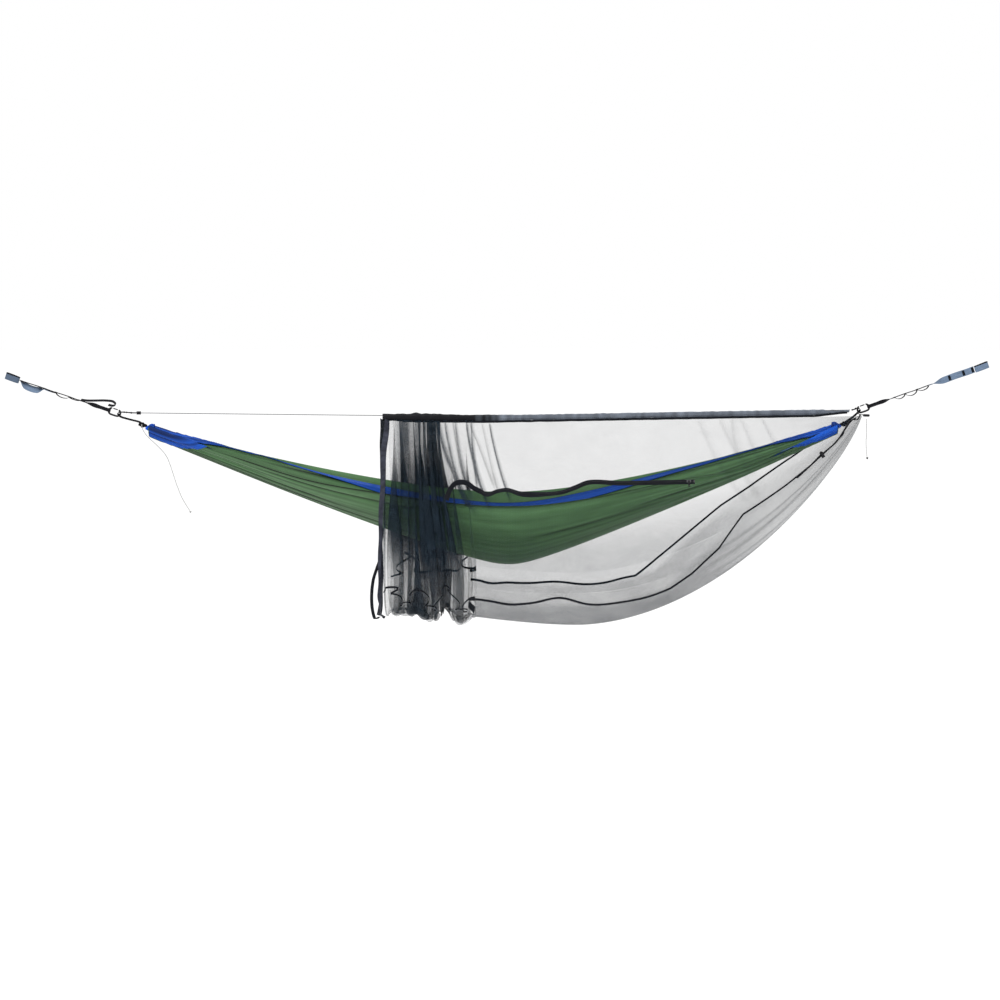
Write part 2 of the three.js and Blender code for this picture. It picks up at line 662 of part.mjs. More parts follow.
// Local X along the cords, local Y across both of them, local Z up: the plunger presses down.
function cordLock() {
  const group = new THREE.Group();
  const middle = lockLow.clone().lerp(lockHigh, 0.5);
  group.applyMatrix4(new THREE.Matrix4().makeBasis(lockAlong, lockSide, lockUp).setPosition(middle));
  const { radius, length } = LOCK;
  const upright = (geometry, z) => geometry.rotateX(Math.PI / 2).translate(0, 0, z);
  const barrel = upright(new THREE.CylinderGeometry(radius, radius, length, 16), 0);
  const well = upright(new THREE.CylinderGeometry(5, 5, length, 16), 3);
  const slot = new THREE.BoxGeometry(30, 9, 5);
  group.add(mesh('cord_lock_barrel', cut(barrel, well, slot), PLASTIC));

  const stem = upright(new THREE.CylinderGeometry(4.6, 4.6, 17, 16), 5.5);
  // the cords' way through the stem, with room above them for its travel
  const way = new THREE.BoxGeometry(30, 8.4, 7.3).translate(0, 0, 1.35);
  group.add(mesh('cord_lock_plunger', cut(stem, way), PLASTIC));

  const springRing = [[3, -6.6], [4.2, -6.6], [4.2, -3.4], [3, -3.4], [3, -6.6]];
  const ring = new THREE.LatheGeometry(springRing.map(([r, y]) => new THREE.Vector2(r, y)), 12);
  ring.rotateX(Math.PI / 2);
  group.add(mesh('cord_lock_spring', ring, STEEL));
  return group;
}

// ---- Small pieces on cords ----
function knot(radius) {
  return new THREE.SphereGeometry(radius, 10, 7);
}

function placed(piece, x, y, z) {
  piece.position.set(x, y, z);
  return piece;
}

// The adjuster grips the ridgeline near its left hook and slides along it.
function lineAdjuster() {
  const block = new THREE.BoxGeometry(16, 9, 12);
  const boreRadius = RIDGELINE / 2 + 0.6;
  const bore = new THREE.CylinderGeometry(boreRadius, boreRadius, 30, 12).rotateZ(Math.PI / 2);
  const sideHole = new THREE.CylinderGeometry(1.6, 1.6, 20, 10);
  const piece = mesh('line_adjuster', cut(block, bore, sideHole), PLASTIC);
  return placed(piece, ADJUSTER_X, 0, ridgeZ(ADJUSTER_X));
}

const TAIL_LEFT_ROUTE = [
  [513, -183], [512.6, -189], [514, -196], [517, -205], [522, -214], [530, -225], [540, -236],
  [554, -249], [568, -262], [583, -277], [597, -293], [609, -312], [618, -335], [627, -362],
  [635, -388], [641, -407], [648, -426], [655.5, -446], [664, -465], [677, -488], [692, -512],
];
const TAIL_RIGHT_ROUTE = [
  [3257, -163], [3257.4, -172], [3257.8, -181], [3258.2, -190], [3258.7, -200], [3259, -210],
  [3258.8, -220], [3258, -232], [3257.2, -244], [3257, -254], [3257.4, -264], [3258, -275],
  [3258.9, -286], [3260, -297], [3261, -307],
];
const TAIL_LEFT_Y = -16;
const TAIL_RIGHT_Y = -14;

function tail(route, y, diameter, count) {
  return cord(route.map(([x, z]) => v(x, y, z)), diameter, count, 8);
}

// ---- Assembly ----
const hammock = new THREE.Group();
const leftFreeLoop = band([
  v(296, 0, 3.6), v(318, 0, 8), v(345, 0, 17), v(386, 0, 31), v(414, 0, 36), v(426, 0, 29),
  v(418, 0, 21), v(400, 0, 18.6),
], ACROSS, 14, 18, 1.6);

hammock.add(endHardware('left', LEFT_CARABINER, { x: 0, z: 0 }, LEFT_KNOT,
  { x: RIDGE.leftX - 4, z: ridgeZ(RIDGE.leftX) }, {
    faceOn: -20, tacks: [58, 152, 198, 252, 290], slack: [24, 1.5, 9, 2], freeLoop: leftFreeLoop,
  }));
hammock.add(endHardware('right', RIGHT_CARABINER, RIGHT_ANCHOR, RIGHT_KNOT,
  { x: RIDGE.rightX + 3, z: ridgeZ(RIDGE.rightX) }, {
    faceOn: 165, tacks: [236, 282, 330, 372], slack: [8, 12, 9],
  }));

hammock.add(mesh('hammock_center_panel', centerPanel(), GREEN_NYLON));
hammock.add(mesh('hammock_side_panel_near', sidePanel(-1), BLUE_NYLON));
hammock.add(mesh('hammock_side_panel_far', sidePanel(1), BLUE_NYLON));
hammock.add(placed(mesh('gather_knot_left', gatherKnot(), BLACK_CORD), LEFT_KNOT.x - 7, 0, LEFT_KNOT.z));
hammock.add(placed(mesh('gather_knot_right', gatherKnot(), BLACK_CORD), RIGHT_KNOT.x + 7, 0, RIGHT_KNOT.z));
const channelLeft = mesh('end_channel_left', endChannel(), BLUE_NYLON);
channelLeft.rotation.z = Math.PI;
hammock.add(placed(channelLeft, HAMMOCK.leftX - 2, 0, HAMMOCK.topLeft - 8));
const channelRight = mesh('end_channel_right', endChannel(), BLUE_NYLON);
hammock.add(placed(channelRight, HAMMOCK.rightX + 2, 0, HAMMOCK.topRight - 8));

hammock.add(mesh('ridgeline', ridgeline(), WHITE_CORD));
hammock.add(lineAdjuster());
hammock.add(mesh('ridge_sleeve', tunnel(SLEEVE.leftX, SLEEVE.rightX, 6, 0), SLEEVE_GREY));
hammock.add(mesh('ridge_trim', ridgeTrim(SLEEVE.leftX, SLEEVE.rightX, 6), BLACK_WEBBING));
hammock.add(mesh('gathered_sleeve', tunnel(CURTAIN.leftX, CURTAIN.rightX, 8, 8), BLACK_NET));

hammock.add(mesh('net_wall_near', netWall(-1), BLACK_NET));
hammock.add(mesh('net_wall_far', netWall(1), BLACK_NET));
hammock.add(mesh('net_floor', netFloor(), BLACK_NET));
hammock.add(mesh('net_curtain', netRing(CURTAIN.leftX, CURTAIN.rightX, 4, NET.thick, -10), BLACK_NET));
hammock.add(mesh('net_opening_hem', netRing(HEM.leftX, HEM.rightX, 2, HEM.thick, 0), BLACK_WEBBING));
hammock.add(mesh('floor_seam_near', seam(-1, NET.leftX + 4, 2960, 18), BLACK_WEBBING));
hammock.add(mesh('floor_seam_far', seam(1, NET.leftX + 4, NET.rightX - 4, 18), BLACK_WEBBING));

hammock.add(mesh('zip_tape', zipTape(), BLACK_WEBBING));
hammock.add(...zipParts());
hammock.add(mesh('net_drawcord_upper', drawcord(1), BLACK_CORD));
hammock.add(mesh('net_drawcord_lower', drawcord(-1), BLACK_CORD));
hammock.add(cordLock());

const tabTop = netPoint(1765, -1, seamShare(1765, -1), 5);
const tab = new THREE.BoxGeometry(34, 1.6, 34).rotateY(Math.PI / 4).translate(0, 0, -28);
hammock.add(placed(mesh('tie_out_tab', tab, BLACK_WEBBING), tabTop.x, tabTop.y - 2, tabTop.z));

const hemLoopY = netPoint(HEM.leftX, -1, 0.62, 2).y + 6;
const hemLoopRoute = [[-2, -702], [-8, -740], [-13, -800], [-9, -860], [-2, -884]];
const hemLoop = band(hemLoopRoute.map(([x, z]) => v(HEM.leftX + x, hemLoopY, z)), ACROSS, 10, 14, 1.6);
hammock.add(mesh('hem_loop', hemLoop, BLACK_WEBBING));

const toggle = new THREE.CapsuleGeometry(5, 18, 4, 10).rotateZ(Math.PI / 3);
hammock.add(placed(mesh('end_toggle', toggle, PLASTIC), 3257, TAIL_RIGHT_Y, -150));
hammock.add(mesh('tail_right', tail(TAIL_RIGHT_ROUTE, TAIL_RIGHT_Y, 2.2, 20), WHITE_CORD));
hammock.add(placed(mesh('tail_knot_right', knot(4.5), BLACK_CORD), 3262, TAIL_RIGHT_Y, -312));
hammock.add(mesh('tail_left', tail(TAIL_LEFT_ROUTE, TAIL_LEFT_Y, TAIL, 44), WHITE_CORD));
hammock.add(placed(mesh('tail_knot_left', knot(4), WHITE_CORD), 694.5, TAIL_LEFT_Y, -516.5));

export default hammock;
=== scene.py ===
# Camping hammock with a sliding bug net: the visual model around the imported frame. Metres, +Z up.
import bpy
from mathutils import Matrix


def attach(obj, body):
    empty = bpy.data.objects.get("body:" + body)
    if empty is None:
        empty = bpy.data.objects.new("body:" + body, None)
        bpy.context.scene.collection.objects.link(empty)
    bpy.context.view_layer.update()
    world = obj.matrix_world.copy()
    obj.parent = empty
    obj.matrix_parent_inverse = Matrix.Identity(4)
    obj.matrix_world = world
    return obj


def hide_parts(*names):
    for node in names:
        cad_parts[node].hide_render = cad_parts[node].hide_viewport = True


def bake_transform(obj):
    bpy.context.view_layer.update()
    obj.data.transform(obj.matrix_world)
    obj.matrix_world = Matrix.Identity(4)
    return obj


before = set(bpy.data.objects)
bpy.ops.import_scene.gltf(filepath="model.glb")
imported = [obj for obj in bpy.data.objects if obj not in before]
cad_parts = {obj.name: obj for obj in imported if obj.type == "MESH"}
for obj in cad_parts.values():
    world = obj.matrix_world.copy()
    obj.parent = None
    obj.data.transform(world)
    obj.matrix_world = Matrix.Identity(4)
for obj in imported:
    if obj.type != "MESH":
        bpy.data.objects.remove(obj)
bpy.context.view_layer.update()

import math

import bmesh
import bpy
import numpy as np
from mathutils import Vector, noise

# ---- Where things are, in metres; the same sections as the CAD model ----
LEFT_ANCHOR, RIGHT_ANCHOR = (0.0, 0.0), (3.716, 0.042)
LEFT_CARABINER, RIGHT_CARABINER = (0.408, -0.138), (3.247, -0.124)
LEFT_KNOT, RIGHT_KNOT = (0.520, -0.187), (3.168, -0.183)
CLOTH = dict(left=0.538, right=3.150, low=1.905, top_left=-0.194, top_right=-0.186, bundle=0.026,
             bottom_drop=0.498, fold_drop=0.277, end_half=0.024, mid_half=0.350)
CLOTH_CURVE = dict(fold=1.45, bottom=1.1, half=1.7, section=2.2)  # how each grows from the ends
LOW_ROUND = 0.05  # how round the cloth is at its lowest place
RIDGE = dict(left=0.478, left_z=-0.141, low=1.800, low_z=-0.155, right=3.200, right_z=-0.130)
NET = dict(left=1.748, right=3.196, flare=2.162, tip=3.245, tip_z=-0.129, low_z=-0.942,
           mouth_z=-0.912, mouth=1.794, half=0.380, shoulder=0.384, corner=0.8)
NET_LOW_CURVE, NET_HALF_CURVE = (1.85, 0.8), 0.6  # how the net's low edge and its half width close to the tip
ROOF_END, WALL_END = 0.35, 0.65  # shares of the way from the ridge to the floor's middle
TOP_DROP = 0.017 + 0.0004 + 0.005 + 0.0012  # from the ridgeline to the net's ridge
HEM_X = (1.408, 1.436)
BUNCH_X = (1.438, 1.775)
FLOOR_Z = -1.75


def mix(a, b, t):
    return a + (b - a) * t


def clamp(t, low=0.0, high=1.0):
    return min(high, max(low, t))


def smooth(t):
    t = clamp(t)
    return t * t * (3 - 2 * t)


def bell(x, middle, width):
    return math.exp(-((x - middle) / width) ** 2)


def wander(x, y=0.0, seed=0.0):
    """Smooth noise from about -1 to 1, the same each run."""
    return noise.noise(Vector((x, y, seed * 7.31 + 0.5))) * 1.6


def along_line(line, i):
    """The direction of a line of points at its i-th point."""
    return (line[min(len(line) - 1, i + 1)] - line[max(0, i - 1)]).normalized()


def square_to(direction, along):
    """A direction, turned the least that makes it square to another one."""
    return (direction - along * direction.dot(along)).normalized()


def cloth_section(x):
    """The fold's height, the lowest height, the half width, and how far x is from an end (0) to the
    lowest place (1)."""
    c, curve = CLOTH, CLOTH_CURVE
    end = c["left"] if x < c["low"] else c["right"]
    t = (x - end) / (c["low"] - end)
    t = 1 - (math.hypot(1 - clamp(t), LOW_ROUND) - LOW_ROUND) / (math.hypot(1, LOW_ROUND) - LOW_ROUND)
    top = mix(c["top_left"], c["top_right"], (x - c["left"]) / (c["right"] - c["left"]))
    fold = top - c["fold_drop"] * (1 - (1 - t) ** curve["fold"])
    bottom = top - c["bundle"] - c["bottom_drop"] * (1 - (1 - t) ** curve["bottom"])
    half = c["end_half"] + (c["mid_half"] - c["end_half"]) * (1 - (1 - t) ** curve["half"])
    return fold, bottom, half, t


def near_drop(x):
    """How much lower the near fold hangs than the far one."""
    return 0.030 * bell(x, 2.82, 0.24) + 0.016 * bell(x, 1.16, 0.24)


def cloth_point(x, across, inward):
    """A point on the cloth: across from the near fold (-1) to the far one (1), moved inward."""
    fold, bottom, half, _ = cloth_section(x)
    power, depth = CLOTH_CURVE["section"], fold - bottom - (near_drop(x) if across < 0 else 0)
    slope = depth * power * abs(across) ** (power - 1) * math.copysign(1, across) / half
    length = math.hypot(1, slope)
    return Vector((x, half * across - slope / length * inward,
                   bottom + depth * abs(across) ** power + inward / length))


def ridge_z(x):
    r = RIDGE
    if x < r["low"]:
        return mix(r["left_z"], r["low_z"], (x - r["left"]) / (r["low"] - r["left"]))
    return mix(r["low_z"], r["right_z"], (x - r["low"]) / (r["right"] - r["low"]))


def net_section(x):
    """The net's top, its low edge and its half width."""
    n = NET
    u = clamp((x - n["flare"]) / (n["tip"] - n["flare"]))
    mouth = clamp((n["flare"] - x) / (n["flare"] - n["mouth"])) ** 2
    if x > n["flare"]:
        low = mix(n["tip_z"], n["low_z"], (1 - u ** NET_LOW_CURVE[0]) ** NET_LOW_CURVE[1])
    else:
        low = mix(n["low_z"], n["mouth_z"], mouth)
    return ridge_z(x) - TOP_DROP, low, n["half"] * (1 - u * u) ** NET_HALF_CURVE


def section_point(x, s):
    """A point of the net's section: s from the ridge (0) down a wall to the floor's middle (1)."""
    top, low, half = net_section(x)
    shoulder, corner = NET["shoulder"], NET["corner"]
    wide = 1.0
    if s < ROOF_END:
        wide = max(0.0, s / ROOF_END)
        down = shoulder * wide ** 1.25
    elif s < WALL_END:
        down = mix(shoulder, corner, (s - ROOF_END) / (WALL_END - ROOF_END))
    else:
        a = (s - WALL_END) / (1 - WALL_END) * math.pi / 2
        wide = math.cos(a)
        down = corner + (1 - corner) * math.sin(a)
    return half * wide, mix(top, low, down)


def net_point(x, side, s, out=0.0):
    nudge = 0.004
    ay, az = section_point(x, max(0, s - nudge))
    by, bz = section_point(x, min(1, s + nudge))
    y, z = section_point(x, s)
    length = math.hypot(by - ay, bz - az)
    return Vector((x, side * (y - (bz - az) / length * out), z + (by - ay) / length * out))


def share_at_height(x, z):
    top, low, _ = net_section(x)
    shoulder, corner = NET["shoulder"], NET["corner"]
    down = clamp((top - z) / (top - low))
    if down < shoulder:
        return ROOF_END * (down / shoulder) ** 0.8
    if down < corner:
        return mix(ROOF_END, WALL_END, (down - shoulder) / (corner - shoulder))
    return mix(WALL_END, 1, math.asin(min(1, (down - corner) / (1 - corner))) / (math.pi / 2))


# how high above the floor each seam lies at a few stations, as a share of the net's height
SEAM_HEIGHTS = {
    -1: ((2.500, 2.580, 2.680, 2.770, 2.930, 3.030, 3.065, 3.116, 3.156, 3.200),
         (0.14, 0.17, 0.24, 0.38, 0.42, 0.46, 0.50, 0.52, 0.59, 0.80)),
    1: ((2.400, 2.580, 2.730, 2.840, 3.010, 3.100, 3.195, 3.228),
        (0.14, 0.27, 0.38, 0.43, 0.53, 0.60, 0.66, 0.88)),
}


def seam_share(x, side):
    top, low, _ = net_section(x)
    return share_at_height(x, mix(low, top, float(np.interp(x, *SEAM_HEIGHTS[side]))))


# ---- Camera, light and floor ----
VIEW_HEIGHT, VIEW_DISTANCE, VIEW_WIDE = math.radians(4.5), 12.0, 3.8
VIEW_TARGET = (1.8696, 0, -0.4725)


def soft_light(name, place, aim, size, power):
    light = bpy.data.lights.new(name, "AREA")
    light.shape, light.size, light.energy = "DISK", size, power
    lamp = bpy.data.objects.new(name, light)
    lamp.location = place
    lamp.rotation_euler = (Vector(aim) - Vector(place)).to_track_quat("-Z", "Y").to_euler()
    bpy.context.scene.collection.objects.link(lamp)


def make_stage():
    scene = bpy.context.scene
    scene.view_settings.view_transform = "Standard"
    scene.view_settings.look = "None"
    data = bpy.data.cameras.new("camera")
    data.sensor_width = 36
    data.lens = data.sensor_width * VIEW_DISTANCE / VIEW_WIDE
    data.clip_end = 200
    camera = bpy.data.objects.new("camera", data)
    backward = Vector((0, -math.cos(VIEW_HEIGHT), math.sin(VIEW_HEIGHT)))
    camera.location = Vector(VIEW_TARGET) + VIEW_DISTANCE * backward
    camera.rotation_euler = (math.pi / 2 - VIEW_HEIGHT, 0, 0)
    scene.collection.objects.link(camera)
    scene.camera = camera

    world = bpy.data.worlds.new("studio")
    world.use_nodes = True
    background = world.node_tree.nodes["Background"]
    background.inputs["Color"].default_value = (1, 1, 1, 1)
    background.inputs["Strength"].default_value = 1.0
    scene.world = world

    soft_light("key", (0.2, -4.0, 3.2), (1.9, 0, -0.5), 1.6, 170)
    soft_light("rim", (3.9, 3.2, 2.8), (1.9, 0, -0.5), 1.8, 90)

    bpy.ops.mesh.primitive_circle_add(vertices=64, radius=60, fill_type="NGON",
                                      location=(1.87, 0, FLOOR_Z))
    floor = bpy.context.object
    floor.name = "floor"
    paint = bpy.data.materials.new("floor_paint")
    paint.use_nodes = True
    shader = paint.node_tree.nodes["Principled BSDF"]
    shader.inputs["Base Color"].default_value = (0.93, 0.93, 0.93, 1)
    shader.inputs["Roughness"].default_value = 1.0
    shader.inputs["Specular IOR Level"].default_value = 0.0
    shader.inputs["Emission Color"].default_value = (1, 1, 1, 1)
    shader.inputs["Emission Strength"].default_value = 0.14
    floor.data.materials.append(paint)


# ---- Materials ----
class Paint:
    """A small helper for procedural materials: a Principled shader with nodes before it."""

    def __init__(self, name, color, roughness, metallic=0.0, **sockets):
        self.material = bpy.data.materials.new(name)
        self.material.use_nodes = True
        self.tree = self.material.node_tree
        self.shader = self.tree.nodes["Principled BSDF"]
        self.color = color
        self.set("Base Color", (*color, 1))
        self.set("Roughness", roughness)
        self.set("Metallic", metallic)
        for socket, value in sockets.items():
            self.set(socket.replace("_", " "), value)
        self.material.diffuse_color = (*color, 1)

    def set(self, socket, value):
        self.shader.inputs[socket].default_value = value

    def node(self, kind, **values):
        made = self.tree.nodes.new(kind)
        for key, value in values.items():
            if key in made.inputs:
                made.inputs[key].default_value = value
            else:
                setattr(made, key, value)
        return made

    def link(self, a, b):
        self.tree.links.new(a, b)

    def coordinates(self, uv=False, scale=(1, 1, 1)):
        mapping = self.node("ShaderNodeMapping")
        mapping.inputs["Scale"].default_value = scale
        if uv:
            source = self.node("ShaderNodeUVMap", uv_map="cloth").outputs["UV"]
        else:
            source = self.node("ShaderNodeTexCoord").outputs["Object"]
        self.link(source, mapping.inputs["Vector"])
        return mapping.outputs["Vector"]

    def noise(self, scale, uv=False, stretch=(1, 1, 1), detail=3.0):
        made = self.node("ShaderNodeTexNoise", Scale=scale, Detail=detail, Roughness=0.55)
        self.link(self.coordinates(uv, stretch), made.inputs["Vector"])
        return made.outputs["Fac"]

    def bands(self, scale, axis="X", uv=True):
        made = self.node("ShaderNodeTexWave", Scale=scale, wave_type="BANDS", bands_direction=axis,
                         wave_profile="SIN")
        self.link(self.coordinates(uv), made.inputs["Vector"])
        return made.outputs["Fac"]

    def math(self, operation, a, b=None, clamped=False):
        made = self.node("ShaderNodeMath", operation=operation, use_clamp=clamped)
        for slot, value in zip(made.inputs, (a, b)):
            if value is None:
                continue
            if isinstance(value, (int, float)):
                slot.default_value = value
            else:
                self.link(value, slot)
        return made.outputs[0]

    def ramp(self, factor, color, dark, light):
        """From dark to light times a colour, by a 0 to 1 factor."""
        made = self.node("ShaderNodeValToRGB")
        low, high = made.color_ramp.elements
        low.position, high.position = 0.25, 0.75
        low.color = (*[c * dark for c in color], 1)
        high.color = (*[min(1, c * light) for c in color], 1)
        self.link(factor, made.inputs["Fac"])
        return made.outputs["Color"]

    def tint(self, factor, dark, light, shaded=False):
        """Base colour round the paint's own colour. A shaded paint gets painted shade in the creases and
        painted highlights on the crests that its mesh marks."""
        colour = self.ramp(factor, self.color, dark, light)
        if shaded:
            shade = self.node("ShaderNodeAttribute", attribute_name="shade").outputs["Fac"]
            scale = self.node("ShaderNodeVectorMath", operation="SCALE")
            self.link(colour, scale.inputs[0])
            self.link(self.math("ADD", shade, 1.0), scale.inputs["Scale"])
            colour = scale.outputs["Vector"]
        self.link(colour, self.shader.inputs["Base Color"])

    def roughness(self, factor, low, high):
        made = self.node("ShaderNodeMapRange")
        made.inputs["To Min"].default_value = low
        made.inputs["To Max"].default_value = high
        self.link(factor, made.inputs["Value"])
        self.link(made.outputs["Result"], self.shader.inputs["Roughness"])

    def bump(self, height, distance, strength=1.0):
        made = self.node("ShaderNodeBump", Strength=strength, Distance=distance)
        self.link(height, made.inputs["Height"])
        self.link(made.outputs["Normal"], self.shader.inputs["Normal"])


def nylon(name, color, sheen):
    """Thin ripstop taffeta: a faint 5 mm grid, fine crinkles and soft streaks along the pull."""
    p = Paint(name, color, 0.5, Sheen_Weight=sheen, Sheen_Roughness=0.35, Specular_IOR_Level=0.14)
    streaks = p.math("MULTIPLY", p.noise(1.0, uv=True, stretch=(2.0, 30, 1), detail=4), 0.7)
    mottle = p.math("MULTIPLY", p.noise(14, uv=True, detail=3), 0.3)
    p.tint(p.math("ADD", streaks, mottle), 0.68, 1.36, shaded=True)
    p.roughness(p.noise(5, uv=True), 0.48, 0.66)
    grid = p.math("MAXIMUM", p.math("POWER", p.bands(32, "X"), 14), p.math("POWER", p.bands(32, "Y"), 14))
    crinkle = p.noise(60, uv=True, detail=2)
    p.bump(p.math("ADD", p.math("MULTIPLY", grid, 0.3), p.math("MULTIPLY", crinkle, 0.8)), 0.0008, 0.6)
    return p.material


def webbing(name, color, light=1.35):
    """Woven tape with ribs along and across it."""
    p = Paint(name, color, 0.7, Sheen_Weight=0.01, Sheen_Roughness=0.4, Specular_IOR_Level=0.07)
    p.tint(p.noise(40, detail=4), 0.7, light)
    p.bump(p.math("MULTIPLY", p.bands(130, "X"), p.bands(170, "Y")), 0.0005, 0.8)
    p.roughness(p.noise(90), 0.6, 0.85)
    return p.material


def strap_webbing(name, dark, pale):
    """Black webbing, mixed to a pale grey-blue painted sheen by an attribute on its mesh."""
    p = Paint(name, dark, 0.65, Sheen_Weight=0.01, Sheen_Roughness=0.4, Specular_IOR_Level=0.07)
    painted_sheen = p.node("ShaderNodeAttribute", attribute_name="painted_sheen").outputs["Fac"]
    streak = p.noise(1.0, uv=True, stretch=(30, 260, 1), detail=3)
    blend = p.node("ShaderNodeMix", data_type="RGBA")
    first, second, result = blend.inputs[6], blend.inputs[7], blend.outputs[2]  # the colour sockets
    # painted sheen: the attribute mixes the black colour to the pale lit one
    p.link(painted_sheen, blend.inputs["Factor"])
    p.link(p.ramp(streak, dark, 0.7, 1.6), first)
    p.link(p.ramp(streak, pale, 0.72, 1.35), second)
    p.link(result, p.shader.inputs["Base Color"])
    p.bump(p.math("MULTIPLY", p.bands(130, "X"), p.bands(170, "Y")), 0.0005, 0.8)
    return p.material


def braid(name, color, light=1.3):
    """Braided cord: crossed diagonal ridges."""
    p = Paint(name, color, 0.75, Sheen_Weight=0.01, Specular_IOR_Level=0.08)
    cross = p.math("MULTIPLY", p.bands(260, "DIAGONAL", uv=False), p.bands(300, "X", uv=False))
    p.tint(cross, 0.75, light)
    p.bump(cross, 0.0006, 0.9)
    return p.material


def mesh_net(name, color):
    """Fine hexagonal net. The share of threads comes from each vertex."""
    p = Paint(name, color, 0.8, Specular_IOR_Level=0.05)
    density = p.node("ShaderNodeAttribute", attribute_name="threads").outputs["Fac"]
    cells = p.node("ShaderNodeTexVoronoi", Scale=330.0, feature="DISTANCE_TO_EDGE")
    p.link(p.coordinates(uv=True), cells.inputs["Vector"])
    thread = p.math("LESS_THAN", cells.outputs["Distance"], 0.09)
    grain = p.math("ADD", p.math("MULTIPLY", thread, 0.55), 0.80)
    uneven = p.math("ADD", p.math("MULTIPLY", p.noise(9, uv=True, detail=4), 0.5), 0.75)
    covered = p.math("MULTIPLY", p.math("MULTIPLY", density, grain), uneven, clamped=True)
    p.link(covered, p.shader.inputs["Alpha"])
    p.tint(p.noise(30), 0.7, 1.4)
    return p.material


def plain(name, color, roughness, metallic=0.0, **sockets):
    """Moulded plastic or metal: fine grain, light wear and uneven gloss."""
    p = Paint(name, color, roughness, metallic, **sockets)
    p.tint(p.noise(50, detail=5), 0.8, 1.35)
    p.roughness(p.noise(120, detail=4), roughness * 0.75, min(1, roughness * 1.3))
    p.bump(p.noise(300, detail=2), 0.0002, 0.4)
    return p.material


def make_materials():
    return {
        "green_nylon": nylon("green_nylon", (0.048, 0.104, 0.044), 0.01),
        "blue_nylon": nylon("blue_nylon", (0.006, 0.052, 0.30), 0.01),
        "black_webbing": webbing("black_webbing", (0.008, 0.009, 0.012)),
        "grey_webbing": webbing("grey_webbing", (0.23, 0.28, 0.36), 1.5),
        "strap_webbing": strap_webbing("strap_webbing", (0.007, 0.007, 0.009), (0.13, 0.18, 0.26)),
        "hem_webbing": webbing("hem_webbing", (0.014, 0.015, 0.021), 3.2),
        "black_cord": braid("black_cord", (0.006, 0.006, 0.008), 1.8),
        "ridge_cord": braid("ridge_cord", (0.23, 0.23, 0.24), 1.2),
        "white_cord": braid("white_cord", (0.46, 0.46, 0.45), 1.15),
        "black_net": mesh_net("black_net", (0.009, 0.015, 0.022)),
        "sleeve_cloth": nylon("sleeve_cloth", (0.120, 0.136, 0.165), 0.01),
        "bunched_sleeve": nylon("bunched_sleeve", (0.006, 0.006, 0.008), 0.0),
        "black_alloy": plain("black_alloy", (0.006, 0.006, 0.007), 0.42, Specular_IOR_Level=0.22),
        "steel": plain("steel", (0.07, 0.07, 0.075), 0.38, 0.5),
        "black_plastic": plain("black_plastic", (0.007, 0.007, 0.009), 0.45, Specular_IOR_Level=0.16),
    }


# ---- Mesh helpers ----
def add_object(name, data, material):
    made = bpy.data.objects.new(name, data)
    bpy.context.scene.collection.objects.link(made)
    data.materials.append(material)
    return made


def sheet_mesh(name, points, material, uv=None, closed=False, density=None, thick=0.0, shade=None):
    """A smooth grid mesh from an array of points (rows, columns, 3), with UVs in metres."""
    points = np.asarray(points, float)
    rows, columns = points.shape[:2]
    across = columns if closed else columns - 1
    faces = [(i * columns + j, (i + 1) * columns + j, (i + 1) * columns + (j + 1) % columns,
              i * columns + (j + 1) % columns) for i in range(rows - 1) for j in range(across)]
    data = bpy.data.meshes.new(name)
    data.from_pydata(points.reshape(-1, 3).tolist(), [], faces)
    data.validate()
    if uv is None:
        along = np.linalg.norm(np.diff(points, axis=0), axis=2).mean(axis=1)
        side = np.linalg.norm(np.diff(points, axis=1), axis=2).mean(axis=0)
        u = np.concatenate([[0], np.cumsum(along)])
        v = np.concatenate([[0], np.cumsum(side)])
        uv = np.stack(np.meshgrid(u, v, indexing="ij"), axis=-1)
    layer = data.uv_layers.new(name="cloth")
    corners = np.empty(len(data.loops), int)
    data.loops.foreach_get("vertex_index", corners)
    layer.data.foreach_set("uv", uv.reshape(-1, 2)[corners].astype(np.float32).ravel())
    for marks, label in ((density, "threads"), (shade, "shade")):
        if marks is not None:
            attribute = data.attributes.new(label, "FLOAT", "POINT")
            attribute.data.foreach_set("value", np.asarray(marks, np.float32).ravel())
    data.polygons.foreach_set("use_smooth", [True] * len(data.polygons))
    made = add_object(name, data, material)
    if thick:
        shell = made.modifiers.new("thickness", "SOLIDIFY")
        shell.thickness, shell.offset = thick, 0
    return made


def between(p, q, t, at_p, at_q):
    return p * ((at_q - t) / (at_q - at_p)) + q * ((t - at_p) / (at_q - at_p))


def spline(points, count):
    """Centripetal Catmull-Rom through points, resampled evenly. Returns the points and the length."""
    p = [Vector(q) for q in points]
    p = [p[0] * 2 - p[1], *p, p[-1] * 2 - p[-2]]
    dense = []
    for i in range(1, len(p) - 2):
        k = [0.0]
        for a, b in zip(p[i - 1:i + 2], p[i:i + 3]):
            k.append(k[-1] + max(1e-9, (b - a).length) ** 0.5)
        for step in range(24):
            t = mix(k[1], k[2], step / 24)
            a1, a2, a3 = (between(p[i - 1 + n], p[i + n], t, k[n], k[n + 1]) for n in range(3))
            b1, b2 = between(a1, a2, t, k[0], k[2]), between(a2, a3, t, k[1], k[3])
            dense.append(between(b1, b2, t, k[1], k[2]))
    dense.append(p[-2])
    line = np.array([list(q) for q in dense])
    gone = np.concatenate([[0], np.cumsum(np.linalg.norm(np.diff(line, axis=0), axis=1))])
    want = np.linspace(0, gone[-1], count)
    return [Vector([np.interp(w, gone, line[:, k]) for k in range(3)]) for w in want], float(gone[-1])


